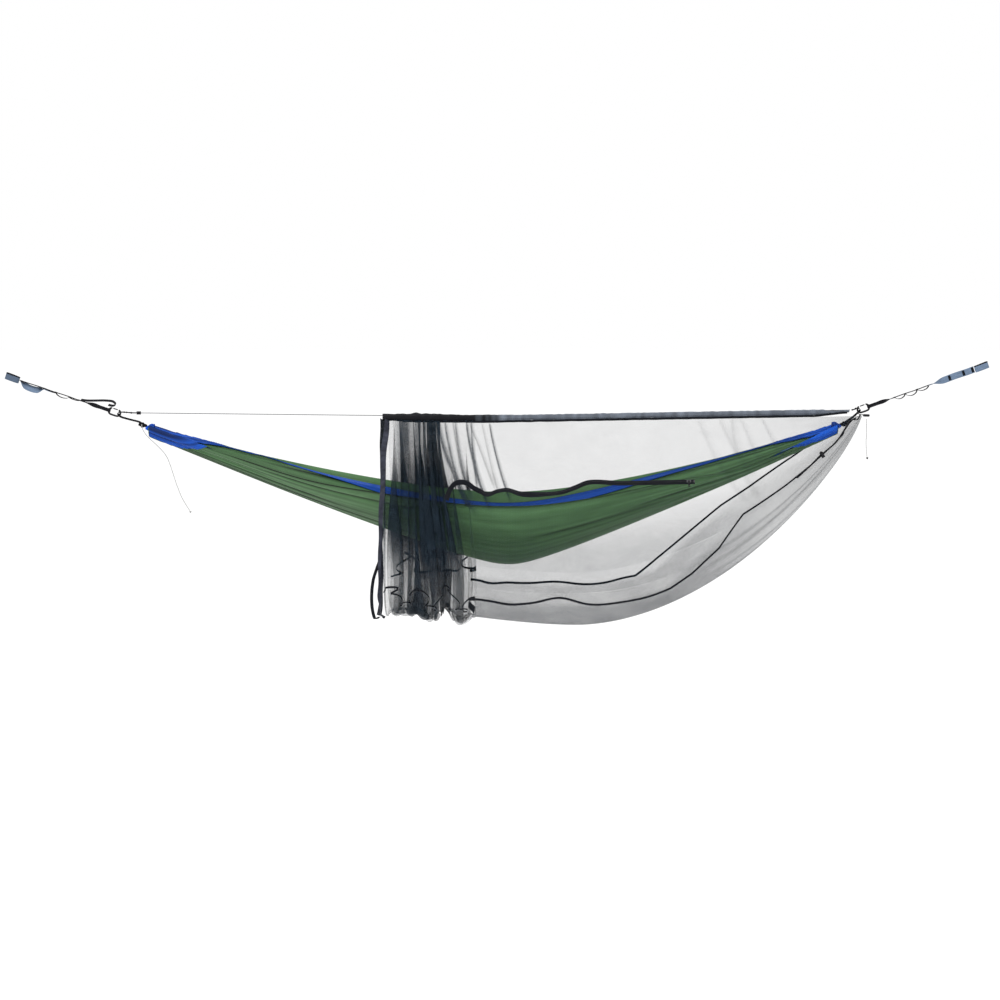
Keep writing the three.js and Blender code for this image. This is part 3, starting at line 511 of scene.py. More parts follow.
def cord_piece(name, points, diameter, material, count=90):
    """A round cord as a curve of one open spline. Returns the object and its length."""
    line, length = spline(points, count)
    data = bpy.data.curves.new(name, "CURVE")
    data.dimensions = "3D"
    data.bevel_depth, data.bevel_resolution, data.use_fill_caps = diameter / 2, 3, True
    poly = data.splines.new("POLY")
    poly.points.add(len(line) - 1)
    for point, place in zip(poly.points, line):
        point.co = (*place, 1)
    return add_object(name, data, material), length


# shares of the width and the thickness round a tape's section
TAPE_SECTION = ((-0.5, 0), (-0.46, 0.5), (-0.2, 0.5), (0.2, 0.5), (0.46, 0.5),
                (0.5, 0), (0.46, -0.5), (0.2, -0.5), (-0.2, -0.5), (-0.46, -0.5))


def tape(name, centres, wides, width, thick, material):
    """Flat tape: centres along it, a width direction at each, a closed section with soft edges."""
    rows = []
    for i, (at, wide) in enumerate(zip(centres, wides)):
        normal = along_line(centres, i).cross(wide).normalized()
        w = width[i] if hasattr(width, "__len__") else width
        rows.append([at + wide.normalized() * (a * w) + normal * (b * thick) for a, b in TAPE_SECTION])
    made = sheet_mesh(name, rows, material, closed=True)
    close_ends(made, len(rows), len(TAPE_SECTION))
    return made


def close_ends(made, rows, columns):
    """Puts a face on each end of a closed-section grid mesh."""
    mesh = bmesh.new()
    mesh.from_mesh(made.data)
    mesh.verts.ensure_lookup_table()
    for face in ([mesh.verts[j] for j in range(columns)],
                 [mesh.verts[(rows - 1) * columns + j] for j in reversed(range(columns))]):
        mesh.faces.new(face)
    bmesh.ops.recalc_face_normals(mesh, faces=mesh.faces)
    mesh.to_mesh(made.data)
    mesh.free()


def tube(name, points, radius, material, sides, count, braid=0.0, pitch=0.006):
    """A round mesh tube along a smooth curve; radius is a number or a function of the share of it.
    Braid makes crossed diagonal ridges, as on cord. Returns the piece, its length and its line."""
    line, length = spline(points, count)
    line = np.array([list(p) for p in line])
    along = np.gradient(line, axis=0)
    along /= np.linalg.norm(along, axis=1)[:, None]
    side = np.cross(along[0], (0.13, 0.2, 0.97))
    rows = []
    for i, (at, t) in enumerate(zip(line, along)):
        side = side - t * side.dot(t)
        side /= np.linalg.norm(side)
        up = np.cross(t, side)
        share = i / (count - 1)
        r = radius(share) if callable(radius) else radius
        gone = share * length
        ring = []
        for j in range(sides):
            turn = 2 * math.pi * j / sides
            wound = gone / pitch * math.pi
            cross = max(math.sin(3 * turn + wound), math.sin(3 * turn - wound))
            grow = r * (1 + braid * cross)
            ring.append(at + side * (math.cos(turn) * grow) + up * (math.sin(turn) * grow))
        rows.append(ring)
    made = sheet_mesh(name, rows, material, closed=True)
    close_ends(made, count, sides)
    return made, length, line


def joined(name, parts):
    """Joins several mesh pieces into the first one and names it."""
    for other in bpy.context.selected_objects:
        other.select_set(False)
    for part in parts:
        part.select_set(True)
    bpy.context.view_layer.objects.active = parts[0]
    bpy.ops.object.join()
    parts[0].name = name
    return parts[0]


def stitches(name, places, along, out, length, width, material):
    """A row of thread stitches: one small six-sided lozenge at each place, all in one mesh."""
    points, faces = [], []
    for at, a, n in zip(places, along, out):
        side = a.cross(n).normalized() * (width / 2)
        base = len(points)
        for share, grow in ((-0.5, 0.0), (-0.3, 1.0), (0.3, 1.0), (0.5, 0.0)):
            middle = at + a * (share * length) + n * (width * 0.35 * grow)
            reach = side * max(grow, 0.3)
            points += [middle - reach, middle + n * (width * 0.3), middle + reach]
        for k in range(3):
            b = base + 3 * k
            faces += [(b, b + 1, b + 4, b + 3), (b + 1, b + 2, b + 5, b + 4), (b + 2, b, b + 3, b + 5)]
        faces += [(base, base + 2, base + 1), (base + 9, base + 10, base + 11)]
    data = bpy.data.meshes.new(name)
    data.from_pydata([tuple(p) for p in points], [], faces)
    data.polygons.foreach_set("use_smooth", [True] * len(data.polygons))
    return add_object(name, data, material)


def place(piece, body, slot, *replaced):
    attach(piece, body)
    if replaced:
        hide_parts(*replaced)
    return piece


def spread(piece, height, slot, *replaced):
    """A bunched piece between the open net and the hem: its transform is baked into its mesh and the CAD parts
    it replaces are hidden.
    """
    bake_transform(piece)
    if replaced:
        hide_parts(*replaced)


# ---- Tree loops, straps, carabiners and ropes ----
class End:
    """One end's own directions: x from the tree to the carabiner, z up from the strap, y across it."""

    def __init__(self, side, anchor, carabiner, knot):
        mirror = 1 if side == "left" else -1
        self.side = side
        self.origin = Vector((anchor[0], 0, anchor[1]))
        self.x = Vector((carabiner[0] - anchor[0], 0, carabiner[1] - anchor[1]))
        self.length = self.x.length
        self.x.normalize()
        self.y = Vector((0, mirror, 0))
        self.z = self.x.cross(self.y)
        self.knot = self.inside(Vector((knot[0], 0, knot[1])))

    def at(self, x, y, z):
        return self.origin + self.x * x + self.y * y + self.z * z

    def clip(self, x, y, z):
        return self.at(self.length + x, y, z)

    def turned(self, y, z):
        return (self.y * y + self.z * z).normalized()

    def inside(self, point):
        """A point in this end's own directions, measured from the carabiner."""
        gap = point - (self.origin + self.x * self.length)
        return Vector((gap.dot(self.x), gap.dot(self.y), gap.dot(self.z)))


WEB, EYE_WEB, WEB_THICK = 0.025, 0.013, 0.002
WIRE, STRAIGHT, BEND = 0.006, 0.022, 0.012


def web_tape(name, centres, wides, width, thick, painted_sheens, mat):
    """Strap tape, with a share of painted sheen at each centre, from black (0) to pale grey-blue (1)."""
    made = tape(name, centres, wides, width, thick, mat["strap_webbing"])
    painted_sheen = np.repeat(np.asarray(painted_sheens, np.float32), len(TAPE_SECTION))
    made.data.attributes.new("painted_sheen", "FLOAT", "POINT").data.foreach_set("value", painted_sheen)
    return made


def tree_loop(end, mat):
    """The loop that bears on the tree: a blunt outer end, tapering to the strap."""
    length, half, t = 0.052, 0.013, WEB_THICK / 2
    corner, flat = 0.004, 0.006
    route = [(-t, flat), (-t, half - corner), (corner - t, half - t), (length * 0.6, half * 0.75),
             (length - corner, 0.003), (length - t, 0), (length - corner, -0.003), (length * 0.6, -half * 0.75),
             (corner - t, t - half), (-t, corner - half), (-t, -flat), (-t, 0), (-t, flat)]
    count, droop = 90, 0.0016
    line, _ = spline([end.at(x, y, 0) for x, y in route], count)
    sag = [end.z * (-droop * math.sin(math.pi * i / (count - 1)) ** 2) for i in range(count)]
    centres = [p + s for p, s in zip(line, sag)]
    # how much pale painted sheen the loop gets
    painted_sheen = 0.55 if end.side == "left" else 1.0
    return web_tape(f"tree_loop_web_{end.side}", centres, [end.z] * count, WEB, WEB_THICK,
                    [painted_sheen] * count, mat), centres


def strap(end, face_on, sheen_to, mat):
    """The main strap, edge on from the tree and turned to the front at face_on, with its sewn eye."""
    eye_x = end.length - STRAIGHT / 2 - BEND
    start, bow, turn = 0.054, 0.0019, 0.06
    radius = (WIRE + WEB_THICK + bow) / 2 + 0.0008
    last = eye_x - 0.034
    centres, wides, widths, painted_sheens = [], [], [], []
    for i in range(110):
        x = mix(start, last, i / 109)
        back = clamp((x - last + turn) / turn)
        angle = smooth((x - face_on) / turn) * (1 - smooth(back)) * math.pi / 2
        centres.append(end.at(x, 0.0004 * math.sin(x * 90), 0.0005 * math.sin(x * 60)))
        wides.append(end.turned(math.sin(angle), math.cos(angle)))
        widths.append(mix(WEB, EYE_WEB, back))
        # pale painted sheen up to a given place along the strap
        painted_sheens.append(1 - smooth((x - sheen_to) / 0.05))
    for i in range(41):
        angle = math.radians(mix(-125, 125, i / 40))
        centres.append(end.at(eye_x + bow / 2 + math.cos(angle) * radius, math.sin(angle) * radius, 0))
    for x, y in ((-0.016, 0.0028), (-0.034, 0.0026), (-0.046, 0.0024)):
        centres.append(end.at(eye_x + x, y, 0))
    more = len(centres) - len(wides)
    wides += [end.z] * more
    widths += [EYE_WEB] * more
    painted_sheens += [0.0] * more
    return web_tape(f"strap_web_{end.side}", centres, wides, widths, WEB_THICK, painted_sheens, mat)


def daisy(end, tacks, slack, faced, sheen_to, mat):
    """The second webbing, sewn at each tack. Faced loops turn their broad side to the front."""
    under, reach = -(WEB_THICK + 0.0006), 0.006
    centres, wides, painted_sheens = [], [], []
    for k, (x0, x1) in enumerate(zip(tacks[:-1], tacks[1:])):
        for i in range(25 if k == len(tacks) - 2 else 24):
            t = i / 24
            x = mix(x0, x1, t)
            open_share = smooth(min(x - x0, x1 - x) / reach)
            droop = math.sin(math.pi * t) ** 0.7 * slack[k] * open_share
            turn = faced[k] * smooth(min(t, 1 - t) * 4)
            centres.append(end.at(x, 0.002 * turn, under - droop - turn * 0.002))
            wides.append(end.turned(math.cos(turn * 1.25), math.sin(turn * 1.25)))
            # pale painted sheen up to a given place along the daisy chain
            painted_sheens.append(1 - smooth((x - sheen_to) / 0.02))
    return web_tape(f"daisy_web_{end.side}", centres, wides, WEB, 0.0016, painted_sheens, mat)


def bar_tacks(end, places, mat):
    """Dense zigzag sewing across the webbing where loops are sewn down."""
    at, along, out = [], [], []
    for x, face in places:
        for k in range(9):
            shift = (k - 4) * 0.0011
            for side in (-1, 1):
                normal = end.turned(side, 0) if face else end.turned(0, side)
                across = end.z if face else end.y
                at.append(end.at(x + shift, 0, 0) + normal * (WEB_THICK / 2 + 0.0002))
                along.append(across)
                out.append(normal)
    return stitches(f"bar_tacks_{end.side}", at, along, out, WEB * 0.9, 0.0010, mat["black_cord"])


def carabiner_wire(end, mat):
    half = STRAIGHT / 2
    route = [(-half - 0.002, BEND - 0.0004)]
    for centre, first, final in ((-half, 112, 268), (half, -88, 68)):
        for k in range(9):
            a = math.radians(mix(first, final, k / 8))
            route.append((centre + BEND * math.cos(a), BEND * math.sin(a)))
    route.append((half + 0.0022, BEND - 0.0004))

    def radius(share):
        return WIRE * 0.60 * (1 - 0.12 * bell(share, 0.0, 0.02) - 0.12 * bell(share, 1.0, 0.02))

    return tube(f"carabiner_body_{end.side}", [end.clip(x, 0, z) for x, z in route], radius,
                mat["black_alloy"], sides=20, count=110)[0]


def carabiner_gate(end, mat):
    start, z = -STRAIGHT / 2 + 0.0044, BEND
    points = [end.clip(start + x, 0, z) for x in (-0.0022, 0.002, 0.007, 0.012, 0.0162)]

    def radius(share):
        return 0.0022 * min(1, (0.35 + share * 9) ** 0.5, (0.35 + (1 - share) * 9) ** 0.5) * (
            1 - 0.1 * bell(share, 0.25, 0.03) - 0.1 * bell(share, 0.75, 0.03))

    return tube(f"carabiner_gate_{end.side}", points, radius, mat["black_alloy"], sides=18, count=60)[0]


def end_rope(end, mat):
    tip, k = STRAIGHT / 2, end.knot

    def strand(side):
        return [(k.x - 0.009, side * 0.0030, k.z + 0.0024), (k.x - 0.020, side * 0.0043, k.z + 0.005),
                (mix(tip, k.x, 0.45), side * 0.005, k.z * 0.5 - 0.003),
                (tip + 0.016, side * 0.0066, -0.009), (tip + 0.011, side * 0.0074, -0.0064)]

    bight = [(tip + 0.005, 0.005, -0.0034), (tip + 0.003, 0, -0.0022), (tip + 0.005, -0.005, -0.0034)]
    points = [end.clip(*p) for p in (*strand(1), *bight, *reversed(strand(-1)))]
    return tube(f"end_rope_{end.side}", points, 0.0033, mat["black_cord"], sides=18, count=220,
                braid=0.06, pitch=0.007)[0]


def hook(end, eye, mat):
    tip = STRAIGHT / 2
    points = [(eye.x, 0, eye.z), (mix(tip, eye.x, 0.6), -0.002, mix(0.006, eye.z, 0.6)),
              (tip + 0.017, -0.0055, 0.0095), (tip + 0.010, -0.0062, 0.007), (tip + 0.005, -0.003, 0.0046),
              (tip + 0.0036, 0.0006, 0.0042), (tip + 0.0042, 0.0045, 0.0048)]

    def radius(share):
        return 0.0024 * (1 + 0.6 * bell(share, 0.03, 0.05) + 0.5 * bell(share, 0.35, 0.03)
                         + 0.5 * bell(share, 0.50, 0.03) - 0.35 * smooth((share - 0.9) * 10))

    return tube(f"line_hook_{end.side}", [end.clip(*p) for p in points], radius, mat["black_plastic"],
                sides=16, count=90)[0]


def gather_wraps(end_x, z, side, mat):
    """Rope wound tightly round the gathered end of the cloth."""
    turns, steps = 3.6, 150
    points = []
    for i in range(steps + 1):
        share = i / steps
        turn = 2 * math.pi * turns * share
        swell = 0.0072 + 0.0010 * math.sin(math.pi * share)
        points.append(Vector((end_x + (share - 0.5) * 0.0118, math.cos(turn) * swell,
                              z + math.sin(turn) * swell)))
    wraps, _, _ = tube(f"gather_wraps_{side}", points, 0.00215, mat["black_cord"], sides=12, count=420,
                       braid=0.05, pitch=0.005)
    inward = 1 if side == "left" else -1
    throat = [Vector((end_x + inward * x, 0, z - drop)) for x, drop in
              ((-0.014, -0.0035), (-0.007, -0.0012), (0.0, 0.0), (0.008, 0.0015), (0.018, 0.005))]
    core, _, _ = tube("core", throat, lambda s: 0.0068 - 0.0020 * abs(2 * s - 1) ** 3, mat["black_cord"],
                      sides=18, count=30)
    return joined(f"gather_wraps_{side}", [wraps, core])


def make_ends(mat):
    left = End("left", LEFT_ANCHOR, LEFT_CARABINER, LEFT_KNOT)
    right = End("right", RIGHT_ANCHOR, RIGHT_CARABINER, RIGHT_KNOT)
    plans = {
        # the pale painted sheen reaches along each strap and daisy chain up to the given place
        "left": dict(line_end=0.474, face_on=-0.020, sheen_to=-1.0, tacks=(0.058, 0.152, 0.198, 0.252, 0.290),
                     slack=(0.0125, 0.0015, 0.009, 0.002), faced=(1, 0, 0, 0), daisy_sheen_to=0.17,
                     bars=[(0.152, False)]),
        "right": dict(line_end=3.203, face_on=0.165, sheen_to=0.20, tacks=(0.236, 0.282, 0.330, 0.372),
                      slack=(0.008, 0.012, 0.009), faced=(0, 0, 0), daisy_sheen_to=-1.0,
                      bars=[(0.060, True), (0.096, True), (0.152, True)]),
    }
    for end in (left, right):
        side, plan = end.side, plans[end.side]
        loop, line = tree_loop(end, mat)
        place(loop, "tree_anchors", "grey_webbing", f"tree_loop_{side}")
        # a black strip along the loop's upper edge: painted shade where the edge-on webbing lies in shadow
        shadow_strip = tape(f"tree_loop_shadow_strip_{side}", [p + end.z * (WEB / 2 - 0.0012) for p in line],
                       [end.z] * len(line), 0.0036, WEB_THICK + 0.0010, mat["black_webbing"])
        place(shadow_strip, "tree_anchors", "black_webbing")
        turn_from, turn_to = end.at(0.046, 0, 0), end.at(0.120, 0, 0)
        web = strap(end, plan["face_on"], plan["sheen_to"], mat)
        loops = daisy(end, plan["tacks"], plan["slack"], plan["faced"], plan["daisy_sheen_to"], mat)
        sewn = bar_tacks(end, plan["bars"] + [(x, False) for x in plan["tacks"][1:]], mat)
        for piece, slot in ((web, "black_webbing"), (loops, "grey_webbing"), (sewn, "black_cord")):
            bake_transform(piece)
        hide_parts(f"strap_{side}")
        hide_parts(f"daisy_loops_{side}")
        place(carabiner_wire(end, mat), "suspension", "black_alloy", f"carabiner_{side}")
        place(carabiner_gate(end, mat), f"gate_{side}", "black_alloy", f"gate_{side}")
        place(end_rope(end, mat), "suspension", "black_cord", f"rope_{side}")
        line_end = Vector((plan["line_end"], 0, RIDGE[f"{side}_z"]))
        place(hook(end, end.inside(line_end), mat), "suspension", "black_plastic", f"ridge_hook_{side}")
    place(gather_wraps(LEFT_KNOT[0] - 0.007, LEFT_KNOT[1], "left", mat), "suspension", "black_cord",
          "gather_knot_left")
    place(gather_wraps(RIGHT_KNOT[0] + 0.007, RIGHT_KNOT[1], "right", mat), "suspension", "black_cord",
          "gather_knot_right")

    # the loop that stands above the left strap, in the end's own directions
    free = [(0.296, 0.0036), (0.318, 0.008), (0.345, 0.017), (0.386, 0.031), (0.414, 0.036), (0.426, 0.029),
            (0.418, 0.021), (0.400, 0.0186)]
    line, _ = spline([Vector((x, 0, z)) for x, z in free], 80)
    loop = web_tape("free_loop_web", [left.at(p.x, p.y, p.z) for p in line], [left.turned(0.82, 0.57)] * 80,
                    0.014, 0.0016, [0.0] * 80, mat)
    place(loop, "suspension", "black_webbing", "strap_free_loop_left")


# ---- Cords ----
# the tails' routes from their knots, x and z in millimetres
TAIL_LEFT = ((513, -183), (512.6, -189), (514, -196), (517, -205), (522, -214), (530, -225), (540, -236),
             (554, -249), (568, -262), (583, -277), (597, -293), (609, -312), (618, -335), (627, -362),
             (635, -388), (641, -407), (648, -426), (655.5, -446), (664, -465), (677, -488), (692, -512))
TAIL_RIGHT = ((3257, -163), (3257.4, -172), (3257.8, -181), (3258.2, -190), (3258.7, -200), (3259, -210),
              (3258.8, -220), (3258, -232), (3257.2, -244), (3257, -254), (3257.4, -264), (3258, -275),
              (3258.9, -286), (3260, -297), (3261, -307))
TAIL_Y = {"left": -0.016, "right": -0.014}


def overhand(name, at, radius, cord_radius, mat):
    """A small overhand knot."""
    points = []
    for i in range(49):
        t = 2 * math.pi * i / 48
        points.append(Vector((math.sin(t) + 2 * math.sin(2 * t), -math.sin(3 * t) * 0.9,
                              math.cos(t) - 2 * math.cos(2 * t))) * (radius / 3.4) + at)
    return tube(name, points, cord_radius, mat, sides=12, count=130, braid=0.05, pitch=0.002)[0]


def make_cords(mat):
    for side, route, diameter, knot_x, knot_z, knot_paint in (
            ("left", TAIL_LEFT, 0.0026, 0.6945, -0.5165, "white_cord"),
            ("right", TAIL_RIGHT, 0.0022, 3.262, -0.312, "black_cord")):
        points = [Vector((x / 1000, TAIL_Y[side], z / 1000)) for x, z in route]
        tail, length = cord_piece(f"tail_cord_{side}", points, diameter, mat["white_cord"], count=120)
        place(tail, "suspension", "white_cord", f"tail_{side}")
        at = Vector((knot_x, TAIL_Y[side], knot_z))
        knot = overhand(f"tail_end_knot_{side}", at, 0.0034, 0.0014, mat[knot_paint])
        place(knot, "suspension", knot_paint, f"tail_knot_{side}")

    r = RIDGE
    first, final = r["left"] + 0.003, r["right"] - 0.003
    xs = [mix(first, final, i / 19) for i in range(20)]
    line, length = cord_piece("ridgeline_cord", [Vector((x, 0, ridge_z(x))) for x in xs], 0.003,
                              mat["ridge_cord"], count=140)
    place(line, "suspension", "white_cord", "ridgeline")
    splice, _, _ = tube("line_splice_left", [Vector((x, 0, ridge_z(x))) for x in (0.474, 0.480, 0.488, 0.496)],
                        0.0022, mat["black_cord"], sides=14, count=30, braid=0.05, pitch=0.004)
    place(splice, "suspension", "black_cord")


# ---- The cloth ----
PLEATS = ((2.5, 0.0045, 0.8), (5.5, 0.0050, 1.4), (11.0, 0.0040, 2.6))  # count, height, fade
# where the far panel's strip starts and ends below the fold, as shares of the half width
PANEL_AT = (0.80, 0.95, 1.10, 1.22, 1.42, 1.85, 2.05, 2.30, 2.50, 2.75, 2.95)
PANEL_START = (0.030, 0.026, 0.070, 0.085, 0.085, 0.085, 0.080, 0.060, 0.040, 0.030, 0.030)
PANEL_DEPTH = (0.050, 0.034, 0.080, 0.125, 0.175, 0.180, 0.160, 0.125, 0.095, 0.055, 0.055)
NEAR_PANEL = (0.10, 0.18)
PANEL_WRAP = {"left": -0.66, "right": -0.40}  # how far it wraps round the outside at each end
# long sharp creases: across, from x, to x, depth, width
CREASES = ((-0.90, 0.90, 1.62, 0.0060, 0.030), (-0.62, 0.62, 1.30, 0.0040, 0.020),
           (-0.46, 0.60, 1.70, 0.0045, 0.022), (-0.25, 0.70, 1.66, 0.0060, 0.035),
           (-0.14, 0.80, 1.60, 0.0050, 0.022), (-0.76, 0.58, 1.05, 0.0035, 0.020),
           (-0.93, 2.20, 3.10, 0.0060, 0.030), (-0.78, 2.28, 3.10, 0.0050, 0.026),
           (-0.60, 2.36, 3.12, 0.0042, 0.022), (-0.38, 2.42, 3.12, 0.0050, 0.028),
           (-0.18, 2.55, 3.10, 0.0042, 0.022), (-0.68, 1.90, 2.60, 0.0020, 0.030),
           (0.90, 0.90, 1.60, 0.0050, 0.030), (0.62, 0.62, 1.50, 0.0050, 0.024),
           (0.40, 0.60, 1.60, 0.0050, 0.026), (0.20, 0.75, 1.62, 0.0045, 0.022),
           (0.88, 2.25, 3.10, 0.0050, 0.030), (0.66, 2.30, 3.10, 0.0050, 0.026),
           (0.45, 2.40, 3.10, 0.0045, 0.026), (0.22, 2.50, 3.10, 0.0045, 0.024))
CREASE_REACH, CREASE_FADE = 4, 0.28  # in its own widths, and the share of its length that each end fades over


def crease(x, across):
    """How deep the long creases are here, and how much painted shade they get."""
    deep, dark = 0.0, 0.0
    for middle, first, final, depth, width in CREASES:
        if first < x < final and abs(across - middle) < CREASE_REACH * width:
            window = smooth(min(x - first, final - x) / (CREASE_FADE * (final - first)))
            wave = middle + 0.035 * wander(x * 1.1, middle * 9, 51)
            t = (across - wave) / width
            deep += depth * window * math.exp(-t * t)
            # painted shade along each crease, and a faint painted highlight on its shoulders
            dark += window * math.exp(-3.5 * t * t) - 0.25 * window * math.exp(-(abs(t) - 1.5) ** 2 * 3)
    return deep, dark


def pleat(x, across, seed=0.0):
    """How far the cloth stands out: long creases that run from the gathered ends and fade inwards."""
    t = cloth_section(x)[3]
    total = 0.0
    for k, (count, height, fade) in enumerate(PLEATS):
        phase = count * across * math.pi + 1.7 * k + 0.55 * wander(x * 0.9, across * 1.2, k + seed)
        uneven = 0.65 + 0.35 * wander(x * 1.5, across * count * 0.5, k + 4 + seed)
        total += height * uneven * (1 - t) ** fade * abs(math.sin(phase)) ** 0.7
    soft = 0.5 + 0.5 * wander(x * 0.8, across * 5, 9 + seed)
    return total + 0.0022 * soft * smooth(t * 3)


def cloth_rows(inset=0.0, count=260):
    """Stations along the cloth, closest together at its ends."""
    first, final = CLOTH["left"] + inset, CLOTH["right"] - inset
    return [mix(first, final, (1 - math.cos(math.pi * i / count)) / 2) for i in range(count + 1)]


def make_center_panel(mat):
    rows = cloth_rows()
    shares = [mix(-1, 1, i / 180) for i in range(181)]
    grid, shade = [], []
    for x in rows:
        t = cloth_section(x)[3]
        row, marks = [], []
        for a in shares:
            deep, dark = crease(x, a)
            folds = pleat(x, a)
            row.append(cloth_point(x, a, deep - folds))
            left = smooth((1.55 - x) / 0.5)
            # painted light: lighter upper cloth towards the folds, mostly on the right half, and painted shade
            # over the lower cloth, mostly on the left half
            painted_light_bands = mix(0.34, 0.02, left) * smooth((abs(a) - 0.66) / 0.22) \
                - mix(0.02, 0.46, left) * smooth((0.72 - abs(a)) / 0.3)
            # painted highlights and painted shade in long random streaks, stronger towards the gathered ends,
            # for the lit crests of the folds
            painted_crest_light = 0.6 * wander(a * 30, x * 0.5, 61) * (0.30 + 0.6 * (1 - t))
            # painted shade along the near fold, where the rolled edge shadows the cloth below it
            rim = 0.9 * smooth((-a - 0.975) / 0.02) * smooth(min(x - 0.75, 3.0 - x) * 5)
            # painted highlights where the pleats stand out and painted shade in the long creases
            marks.append(painted_light_bands + painted_crest_light + 0.03 * folds / 0.004 - 0.93 * min(1, dark) - rim)
        grid.append(row)
        shade.append(marks)
    uv = np.array([[(x, a * 0.48) for a in shares] for x in rows])
    centre = sheet_mesh("center_panel_cloth", grid, mat["green_nylon"], uv=uv, thick=0.0008,
                        shade=np.clip(shade, -0.9, 0.9))
    place(centre, "suspension", "green_nylon", "hammock_center_panel")


def make_side_panels(mat):
    """The strips of blue cloth that show along the folded rim, hems and fold seams included."""
    for side, name in ((-1, "near"), (1, "far")):
        rows = cloth_rows(0.004)
        columns = [i / 70 for i in range(71)]
        grid, uv, shade = [], [], []
        for x in rows:
            _, _, half, t = cloth_section(x)
            # near the gathered ends the panel starts outside and wraps over the fold
            ends = max(1 - smooth((x - 0.58) / 0.27), smooth((x - 2.86) / 0.30))
            start, depth = NEAR_PANEL
            if side > 0:
                start, depth = np.interp(x, PANEL_AT, PANEL_START), np.interp(x, PANEL_AT, PANEL_DEPTH)
            first = mix(float(start), PANEL_WRAP["left" if x < 1.9 else "right"], ends ** 1.3)
            final = mix(float(depth), 0.55, ends ** 2)
            row, marks = [], []
            for j in columns:
                q = mix(first, final, j)
                across = side * (1 - abs(q))
                gap = 0.0042 + (0.004 * (1 - t) ** 4 if q < 0 else 0)
                over = math.tanh(q / 0.05)
                folds = pleat(x, across) - crease(x, across)[0]
                p = cloth_point(x, across, gap * over - folds + (0.0008 if q > 0 else 0))
                streak = wander(j * 11, x * 0.8, 63) * (0.3 + 0.55 * ends)
                # near the ends darker at the outer edge and lighter further in, and from 2.95 m on a painted
                # highlight on the lit right end
                marks.append(streak + ends * mix(-0.15, 0.35, j) + 0.9 * smooth((x - 2.95) / 0.15))
                p.z += gap * math.sqrt(max(0, 1 - over * over))
                lift = (1 - t) ** 7 * (0.010 * smooth(q * 2.5) + 0.006) * smooth(q * 12 + 0.5)
                p.z += lift + 0.004 * (1 - t) ** 5 * wander(x * 9, j * 6, 3 + side) * smooth(q * 12 + 0.5)
                if q > 0:
                    p.y = side * max(0.0012 + 0.001 * (1 - j), side * p.y)
                row.append(p)
            grid.append(row)
            shade.append(marks)
            uv.append([(x, 0.6 + j * 0.3) for j in columns])
        panel = sheet_mesh(f"side_panel_cloth_{name}", grid, mat["blue_nylon"], uv=np.array(uv), thick=0.0006,
                           shade=np.clip(shade, -0.8, 1.2))
        place(panel, "suspension", "blue_nylon", f"hammock_side_panel_{name}")
        for kind, edge, inner, wide, thick, paint in (("side_panel_hem", -1, -2, 0.006, 0.0018, "blue_nylon"),
                                                      ("fold_seam", 0, 1, 0.0035, 0.0012, "green_nylon")):
            line = [row[edge] for row in grid[::2]]
            sideways = [(row[inner] - row[edge]).normalized() for row in grid[::2]]
            place(tape(f"{kind}_{name}", line, sideways, wide, thick, mat[paint]), "suspension", paint)


def make_gathered_ends(mat):
    c = CLOTH
    for end_x, sign, z, side in ((c["left"] - 0.002, 1, c["top_left"] - 0.008, "left"),
                                 (c["right"] + 0.002, -1, c["top_right"] - 0.008, "right")):
        rows = []
        for share in np.linspace(0, 1, 26):
            x = end_x + sign * mix(-0.010, 0.024, share)
            base = 0.0052 + 0.0125 * smooth(share * 1.3)
            row = []
            for j in range(160):
                turn = 2 * math.pi * j / 160
                ruffle = abs(math.sin(10 * turn + 2.2 * wander(share * 2, math.cos(turn) * 2, 5))) ** 0.6
                r = base * (0.72 + 0.42 * ruffle) + 0.0012 * wander(share * 6, turn, 6)
                row.append((x + 0.002 * math.sin(7 * turn) * (1 - share), math.cos(turn) * r,
                            z + 0.004 * (1 - share) + math.sin(turn) * r * 0.92))
            rows.append(row)
        painted_edge_highlight = [[1.3 * (1 - smooth(i / 9))] * 160 for i in range(26)]  # painted highlight: its cut edge is paler
        ruffle = sheet_mesh(f"gathered_end_{side}", rows, mat["blue_nylon"], closed=True, thick=0.0006,
                            shade=painted_edge_highlight)
        place(ruffle, "suspension", "blue_nylon", f"end_channel_{side}")


# ---- The net ----
# top place, slope, bend, half width, reach, weight
NEAR_CREASES = ((1.632, 0.20, 0.33, 0.0046, 0.46, 0.80), (1.660, 0.14, 0.26, 0.0036, 0.44, 0.60),
                (1.700, 0.10, 0.24, 0.0034, 0.40, 0.60), (1.742, 0.10, 0.29, 0.0036, 0.44, 0.80),
                (1.760, 0.04, 0.14, 0.0030, 0.36, 0.60), (1.829, 0.12, 0.26, 0.0028, 0.40, 0.75),
                (2.780, 0.16, 0.10, 0.0060, 0.34, 0.12),
                (2.700, 0.20, 0.20, 0.0070, 0.42, 0.12), (2.860, 0.16, 0.15, 0.0050, 0.40, 0.16),
                (2.620, 0.20, 0.20, 0.0080, 0.66, 0.10))
FAR_CREASES = ((1.690, 0.10, 0.10, 0.0040, 0.60, 0.35), (1.752, 0.26, 0.00, 0.0035, 0.42, 0.30),
               (1.800, 0.12, 0.10, 0.0030, 0.60, 0.25), (2.750, 0.10, 0.12, 0.0080, 0.80, 0.12))


